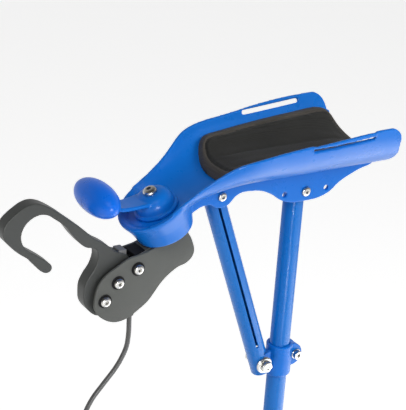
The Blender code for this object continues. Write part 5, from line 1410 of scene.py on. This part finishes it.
# ---------------------------------------------------------------- wheels
def tyre_and_rim(kind, centre, body):
    tyre = turned_ring("tyre", centre, (0, 1, 0), rounded([
        (-WHEEL_HALF + 1.0, TYRE_R_IN), (-WHEEL_HALF + 0.3, 62.0), (-WHEEL_HALF + 0.8, 63.2), (-WHEEL_HALF, 64.4), (-WHEEL_HALF, 68.5), (-WHEEL_HALF + 3.0, 72.6),
        (-WHEEL_HALF + 8.0, WHEEL_R), (-4.8, WHEEL_R), (-4.8, WHEEL_R - 1.8), (-3.4, WHEEL_R - 1.8), (-3.4, WHEEL_R), (3.4, WHEEL_R), (3.4, WHEEL_R - 1.8),
        (4.8, WHEEL_R - 1.8), (4.8, WHEEL_R), (WHEEL_HALF - 8.0, WHEEL_R), (WHEEL_HALF - 3.0, 72.6), (WHEEL_HALF, 68.5), (WHEEL_HALF, 64.4), (WHEEL_HALF - 0.8, 63.2),
        (WHEEL_HALF - 0.3, 62.0), (WHEEL_HALF - 1.0, TYRE_R_IN)], 0.5, 2, True), 144)
    form = bmesh.new()
    form.from_mesh(tyre.data)
    c = Vector(centre) * 0.001
    for v in form.verts:
        d = v.co - c
        r = math.hypot(d.x, d.z)
        if r > 0.0712 and abs(d.y) > 0.0055:
            turn = math.atan2(d.z, d.x) * 36 / (2 * math.pi)
            if (turn + (0.5 if d.y > 0 else 0.0)) % 1.0 > 0.72:
                k = (r - 0.0016) / r
                v.co = Vector((c.x + d.x * k, v.co.y, c.z + d.z * k))
    form.to_mesh(tyre.data)
    form.free()
    rim = turned_ring("rim", centre, (0, 1, 0), rounded([
        (-14.0, TYRE_R_IN - GAP), (14.0, TYRE_R_IN - GAP), (14.0, 56.4), (11.0, 54.6), (4.5, 47.0), (3.4, 44.0), (3.4, 20.0), (4.5, 17.0), (14.0, 13.0), (14.0, 5.3),
        (-14.0, 5.3), (-14.0, 13.0), (-4.5, 17.0), (-3.4, 20.0), (-3.4, 44.0), (-4.5, 47.0), (-11.0, 54.6), (-14.0, 56.4)], 1.2, 3, True), 144)
    c = Vector(centre)
    for i in range(5):
        a = 2 * math.pi * i / 5 + math.pi / 2
        out, side = Vector((math.cos(a), 0, math.sin(a))), Vector((-math.sin(a), 0, math.cos(a)))
        rib = loft("rib", [
            [tuple(c + out * r + side * (w * s) + Vector((0, y, 0))) for s, y in ((-1, -4.9), (-0.75, -5.9), (0.75, -5.9), (1, -4.9), (1, 4.9), (0.75, 5.9), (-0.75, 5.9), (-1, 4.9))]
            for r, w in ((12.0, 5.0), (20.0, 4.4), (34.0, 3.7), (46.0, 4.6), (52.0, 6.6))])
        join(rim, rib)
    side_piece(tyre, kind + "_tread", body, "tyre_grey", [kind + "_tyre_{s}"], support=False, angle=28)
    side_piece(rim, kind + "_hub", body, "rim_grey", [kind + "_rim_{s}"], support=False, angle=30)


tyre_and_rim("rear", (REAR_X, -REAR_Y, WHEEL_R), "rear_wheel_{s}")
tyre_and_rim("front", (CASTER_X - CASTER_TRAIL, -CASTER_Y, WHEEL_R), "front_wheel_{s}")
axle = turned("axle", (REAR_X, -REAR_Y, WHEEL_R), (0, -1, 0), rounded([
    (-58.8, 5.0), (-52.3, 5.0), (-21.7, 5.0), (-21.7, 9.0), (-14.3, 9.0), (-14.3, 5.0), (14.3, 5.0), (14.3, 9.0), (16.0, 9.0), (16.2, 8.2), (20.5, 7.0), (20.5, 3.0)], 0.4, 2), 48)
join(axle, hex_prism("nut", (REAR_X, -REAR_Y, WHEEL_R), (0, 1, 0), 52.3, 58.6, 13.6, 0.9))
side_piece(axle, "rear_spindle", "base", "steel", ["rear_axle_{s}"], support=False)

# ---------------------------------------------------------------- caster fork
fx, fy = CASTER_X - CASTER_TRAIL, -CASTER_Y
crown = []
for i in range(33):
    a = -math.pi / 2 + math.pi * i / 32
    crown.append((CASTER_X + 17.0 * math.cos(a), fy + 17.0 * math.sin(a)))
crown += [(fx - 6.0, fy + 23.5), (fx - 6.0, fy - 23.5)]
fork = loft("fork", [[(x, y, 163.0) for x, y in crown], [(x, y, 185.4) for x, y in crown]])
cut(fork, rod("lighten", (fx - 40, fy, 160.0), (CASTER_X + 40, fy, 160.0), 14.0, 48))
for side in (1, -1):
    leg = []
    for i in range(25):
        a = math.pi + math.pi * i / 24
        leg.append((fx + 12.0 * math.cos(a), WHEEL_R + 12.0 * math.sin(a)))
    leg += [(CASTER_X + 8.0, 170.0), (CASTER_X + 8.0, 184.0), (fx - 6.0, 184.0)]
    join(fork, slab("leg", leg, fy + side * 18.5, fy + side * 23.0))
join(fork, rod("stem", (CASTER_X, fy, 170.0), (CASTER_X, fy, 232.0), 6.0, 48))
cut(fork, rod("axle", (fx, fy - 40, WHEEL_R), (fx, fy + 40, WHEEL_R), 5.3, 40))
moulded(fork, 0.8, 5, 0.5)
side_piece(fork, "front_fork", "fork_{s}", "rim_grey", ["caster_fork_{s}"], support=False, angle=0)
pin = turned("axle", (fx, fy, WHEEL_R), (0, 1, 0), rounded([(-23.3, 5.0), (23.3, 5.0), (23.3, 8.0), (24.6, 8.0), (28.4, 6.4), (28.4, 3.0)], 0.5, 3), 48)
join(pin, hex_prism("nut", (fx, fy, WHEEL_R), (0, -1, 0), 23.3, 28.6, 12.8, 0.9))
side_piece(pin, "front_axle", "fork_{s}", "steel", ["caster_axle_{s}"], support=False)

# ---------------------------------------------------------------- brake shoe over the rear tyre
a0, a1, r0 = math.radians(42), math.radians(82), WHEEL_R + 3.0
shoe_outline = []
for i in range(21):
    a = a0 + (a1 - a0) * i / 20
    shoe_outline.append((REAR_X + r0 * math.cos(a), WHEEL_R + r0 * math.sin(a)))
for i in range(21):
    a = a1 - (a1 - a0) * i / 20
    shoe_outline.append((REAR_X + (r0 + 9.0) * math.cos(a), WHEEL_R + (r0 + 9.0) * math.sin(a)))
shoe = slab("shoe", shoe_outline, -REAR_Y - 13.0, -REAR_Y + 13.0)
qx, qz = SHOE_X, shoe_z
arm_plate = [(qx + 9.0, qz - 4.0), (qx + 9.5, qz + 5.0), (qx + 3.0, qz + 10.5), (qx - 18.0, qz + 44.0), (qx - 27.0, qz + 46.0),
             (qx - 62.0, qz + 42.0), (qx - 70.0, qz + 36.0), (qx - 62.0, qz + 31.0), (qx - 34.0, qz + 27.0), (qx - 9.0, qz + 3.0), (qx - 8.0, qz - 6.0), (qx, qz - 9.5)]
join(shoe, slab("shoe_arm", arm_plate, -REAR_Y - 5.0, -REAR_Y + 5.0))
cut(shoe, rod("bore", (qx, -330, qz), (qx, -200, qz), 5.3, 40))
cut(shoe, rod("anchor", (qx - 22.0, -330, qz + 38.0), (qx - 22.0, -200, qz + 38.0), 2.8, 32))
moulded(shoe, 0.6, 4, 0.5)
side_piece(shoe, "brake_block", "shoe_{s}", "knob_black", ["brake_shoe_{s}"], support=False, angle=0)

# ---------------------------------------------------------------- brake cable, housing to shoe, in two lengths of one run
CABLE = [
    W(191.5, 0, -91.0), W(191.5, 0, -104.0), W(191.3, 0, -117.0), W(191.3, 0, -130.0), W(193.2, 0, -144.5), W(199.3, 0, -157.8), W(205.9, 0, -167.4), W(218.8, 0, -181.8), W(231.0, 0, -196.5),
    W(239.0, 0, -214.0), W(240.0, 0, -236.0), W(230.0, -2, -262.0), W(206.0, -6, -294.0), W(166.0, -12, -332.0), W(116.0, -18, -366.0), W(68.0, -21, -398.0), W(34.0, -21, -434.0), W(17.0, -18.5, -474.0), W(10.0, -17.0, -520.0),
    W(9.0, -16.5, -580.0), W(9.0, -16.5, -650.0), W(8.0, -17.5, -705.0), W(-4.0, -21.0, -742.0), W(-34.0, -23.0, -764.0), W(-80.0, -24.0, -777.0), W(-130.0, -27.0, -796.0),
    W(-168.0, -34.0, -806.0), W(-196.0, -44.0, -808.0), (qx - 11.0, -286.0, qz + 49.0), (qx - 20.0, -286.0, qz + 49.6),
]
line = smooth_line(CABLE, 520)
split = min(range(len(line)), key=lambda i: (line[i] - Vector(W(240.0, 0, -226.0))).length)


def metres(p):
    return tuple(c * 0.001 for c in p)


upper = pipe("cable", line[:split + 2], CABLE_R, 24)
lower = pipe("cable", line[split:], CABLE_R - 0.002, 24)
side_piece(upper, "cable_upper", None, "cable_black", ["brake_cable_{s}"], support=False,
           blends=("trough_{s}", "post_{s}", metres(W(191.5, 0, -112.0)), metres(W(238.0, 0, -212.0))))
side_piece(lower, "cable_lower", None, "cable_black", ["brake_cable_{s}"], support=False,
           blends=("post_{s}", "base", metres(W(240.0, 0, -238.0)), metres(W(24.0, -20, -456.0))))


# ---------------------------------------------------------------- studio
def plain(name, colour, rough, glow=0.0):
    made = bpy.data.materials.new(name)
    made.use_nodes = True
    tree = made.node_tree
    shader = tree.nodes["Principled BSDF"]
    place = tree.nodes.new("ShaderNodeTexCoord").outputs["Object"]
    cloud = node(tree, "ShaderNodeTexNoise", Scale=1.3, Detail=2.0)
    tree.links.new(place, cloud.inputs["Vector"])
    drift = ranged(tree, cloud.outputs["Fac"], 0.3, 0.7, 0.0, 1.0)
    tree.links.new(mix_colour(tree, drift, tuple(c * 0.99 for c in colour), colour), shader.inputs["Base Color"])
    shader.inputs["Roughness"].default_value = rough
    shader.inputs["Specular IOR Level"].default_value = 0.2
    shader.inputs["Emission Color"].default_value = (1.0, 1.0, 0.995, 1.0)
    shader.inputs["Emission Strength"].default_value = glow
    return made


floor_data = bpy.data.meshes.new("studio_floor")
around = [(14.0 * math.cos(2 * math.pi * i / 64), 14.0 * math.sin(2 * math.pi * i / 64), 0.0) for i in range(64)]
floor_data.from_pydata(around, [], [tuple(range(64))])
floor = bpy.data.objects.new("studio_floor", floor_data)
bpy.context.scene.collection.objects.link(floor)
floor.data.materials.append(plain("studio_white", (0.86, 0.86, 0.86), 0.6, FLOOR_GLOW))

world = bpy.data.worlds.new("studio_light")
bpy.context.scene.world = world
world.use_nodes = True
tree = world.node_tree
tree.nodes.clear()
coords = tree.nodes.new("ShaderNodeTexCoord").outputs["Generated"]
apart = tree.nodes.new("ShaderNodeSeparateXYZ")
tree.links.new(coords, apart.inputs[0])
ramp = tree.nodes.new("ShaderNodeValToRGB")
tree.links.new(apart.outputs["Z"], ramp.inputs["Fac"])
while len(ramp.color_ramp.elements) < len(SKY):
    ramp.color_ramp.elements.new(0.5)
for element, (at, level) in zip(ramp.color_ramp.elements, SKY):
    element.position = at
    element.color = (level, level, level * 1.01, 1.0)
# a lit backdrop on one side of the studio, the other side left darker
towards, lit, unlit = BACKDROP
facing = tree.nodes.new("ShaderNodeVectorMath")
facing.operation = "DOT_PRODUCT"
tree.links.new(coords, facing.inputs[0])
facing.inputs[1].default_value = (math.cos(math.radians(towards)), math.sin(math.radians(towards)), 0.0)
share = ranged(tree, facing.outputs["Value"], -0.35, 0.55, unlit, lit)
back = tree.nodes.new("ShaderNodeBackground")
tree.links.new(ramp.outputs["Color"], back.inputs["Color"])
tree.links.new(share, back.inputs["Strength"])
out = tree.nodes.new("ShaderNodeOutputWorld")
tree.links.new(back.outputs[0], out.inputs["Surface"])


def softbox(name, azimuth, elevation, distance, size, power, mirrored, aim=(0.10, -0.235, 0.98)):
    a, e = math.radians(azimuth), math.radians(elevation)
    away = Vector((math.cos(e) * math.cos(a), math.cos(e) * math.sin(a), math.sin(e)))
    data = bpy.data.lights.new(name, "AREA")
    data.shape = "RECTANGLE"
    data.size, data.size_y = size
    data.energy = power
    light = bpy.data.objects.new(name, data)
    bpy.context.scene.collection.objects.link(light)
    light.rotation_mode = "QUATERNION"
    light.rotation_quaternion = away.to_track_quat("Z", "Y")
    light.location = Vector(aim) + away * distance
    light.visible_glossy = mirrored
    light.visible_diffuse = not mirrored
    light.visible_camera = False
    return light


softbox("key_softbox", *KEY)
softbox("fill_softbox", *FILL)
softbox("small_card", *BOUNCE)
softbox("low_card", *CARD)

azimuth, elevation, roll, distance, across_x, across_z, focal = (
    math.radians(56.41), math.radians(21.96), math.radians(3.79), 1.191, 0.1124, -0.0043, 1200.0)
away = Vector((math.cos(elevation) * math.cos(azimuth), math.cos(elevation) * math.sin(azimuth), math.sin(elevation)))
target = Vector((across_x, -0.235, 0.98 + across_z))
flat_right = (-away).cross(Vector((0, 0, 1))).normalized()
flat_up = flat_right.cross(-away)
right = math.cos(roll) * flat_right + math.sin(roll) * flat_up
up = math.cos(roll) * flat_up - math.sin(roll) * flat_right
camera_data = bpy.data.cameras.new("camera")
camera_data.sensor_width = 36.0
camera_data.lens = 36.0 * focal / 410.0
camera_data.clip_start = 0.02
camera_data.clip_end = 60.0
camera = bpy.data.objects.new("camera", camera_data)
bpy.context.scene.collection.objects.link(camera)
pose = Matrix((right, up, away)).transposed().to_4x4()
pose.translation = target + away * distance
camera.matrix_world = pose
bpy.context.scene.camera = camera

bpy.context.scene.view_settings.view_transform = "Standard"
bpy.context.scene.view_settings.look = "None"
bpy.context.scene.view_settings.exposure = 0.0
bpy.context.scene.view_settings.gamma = 1.0
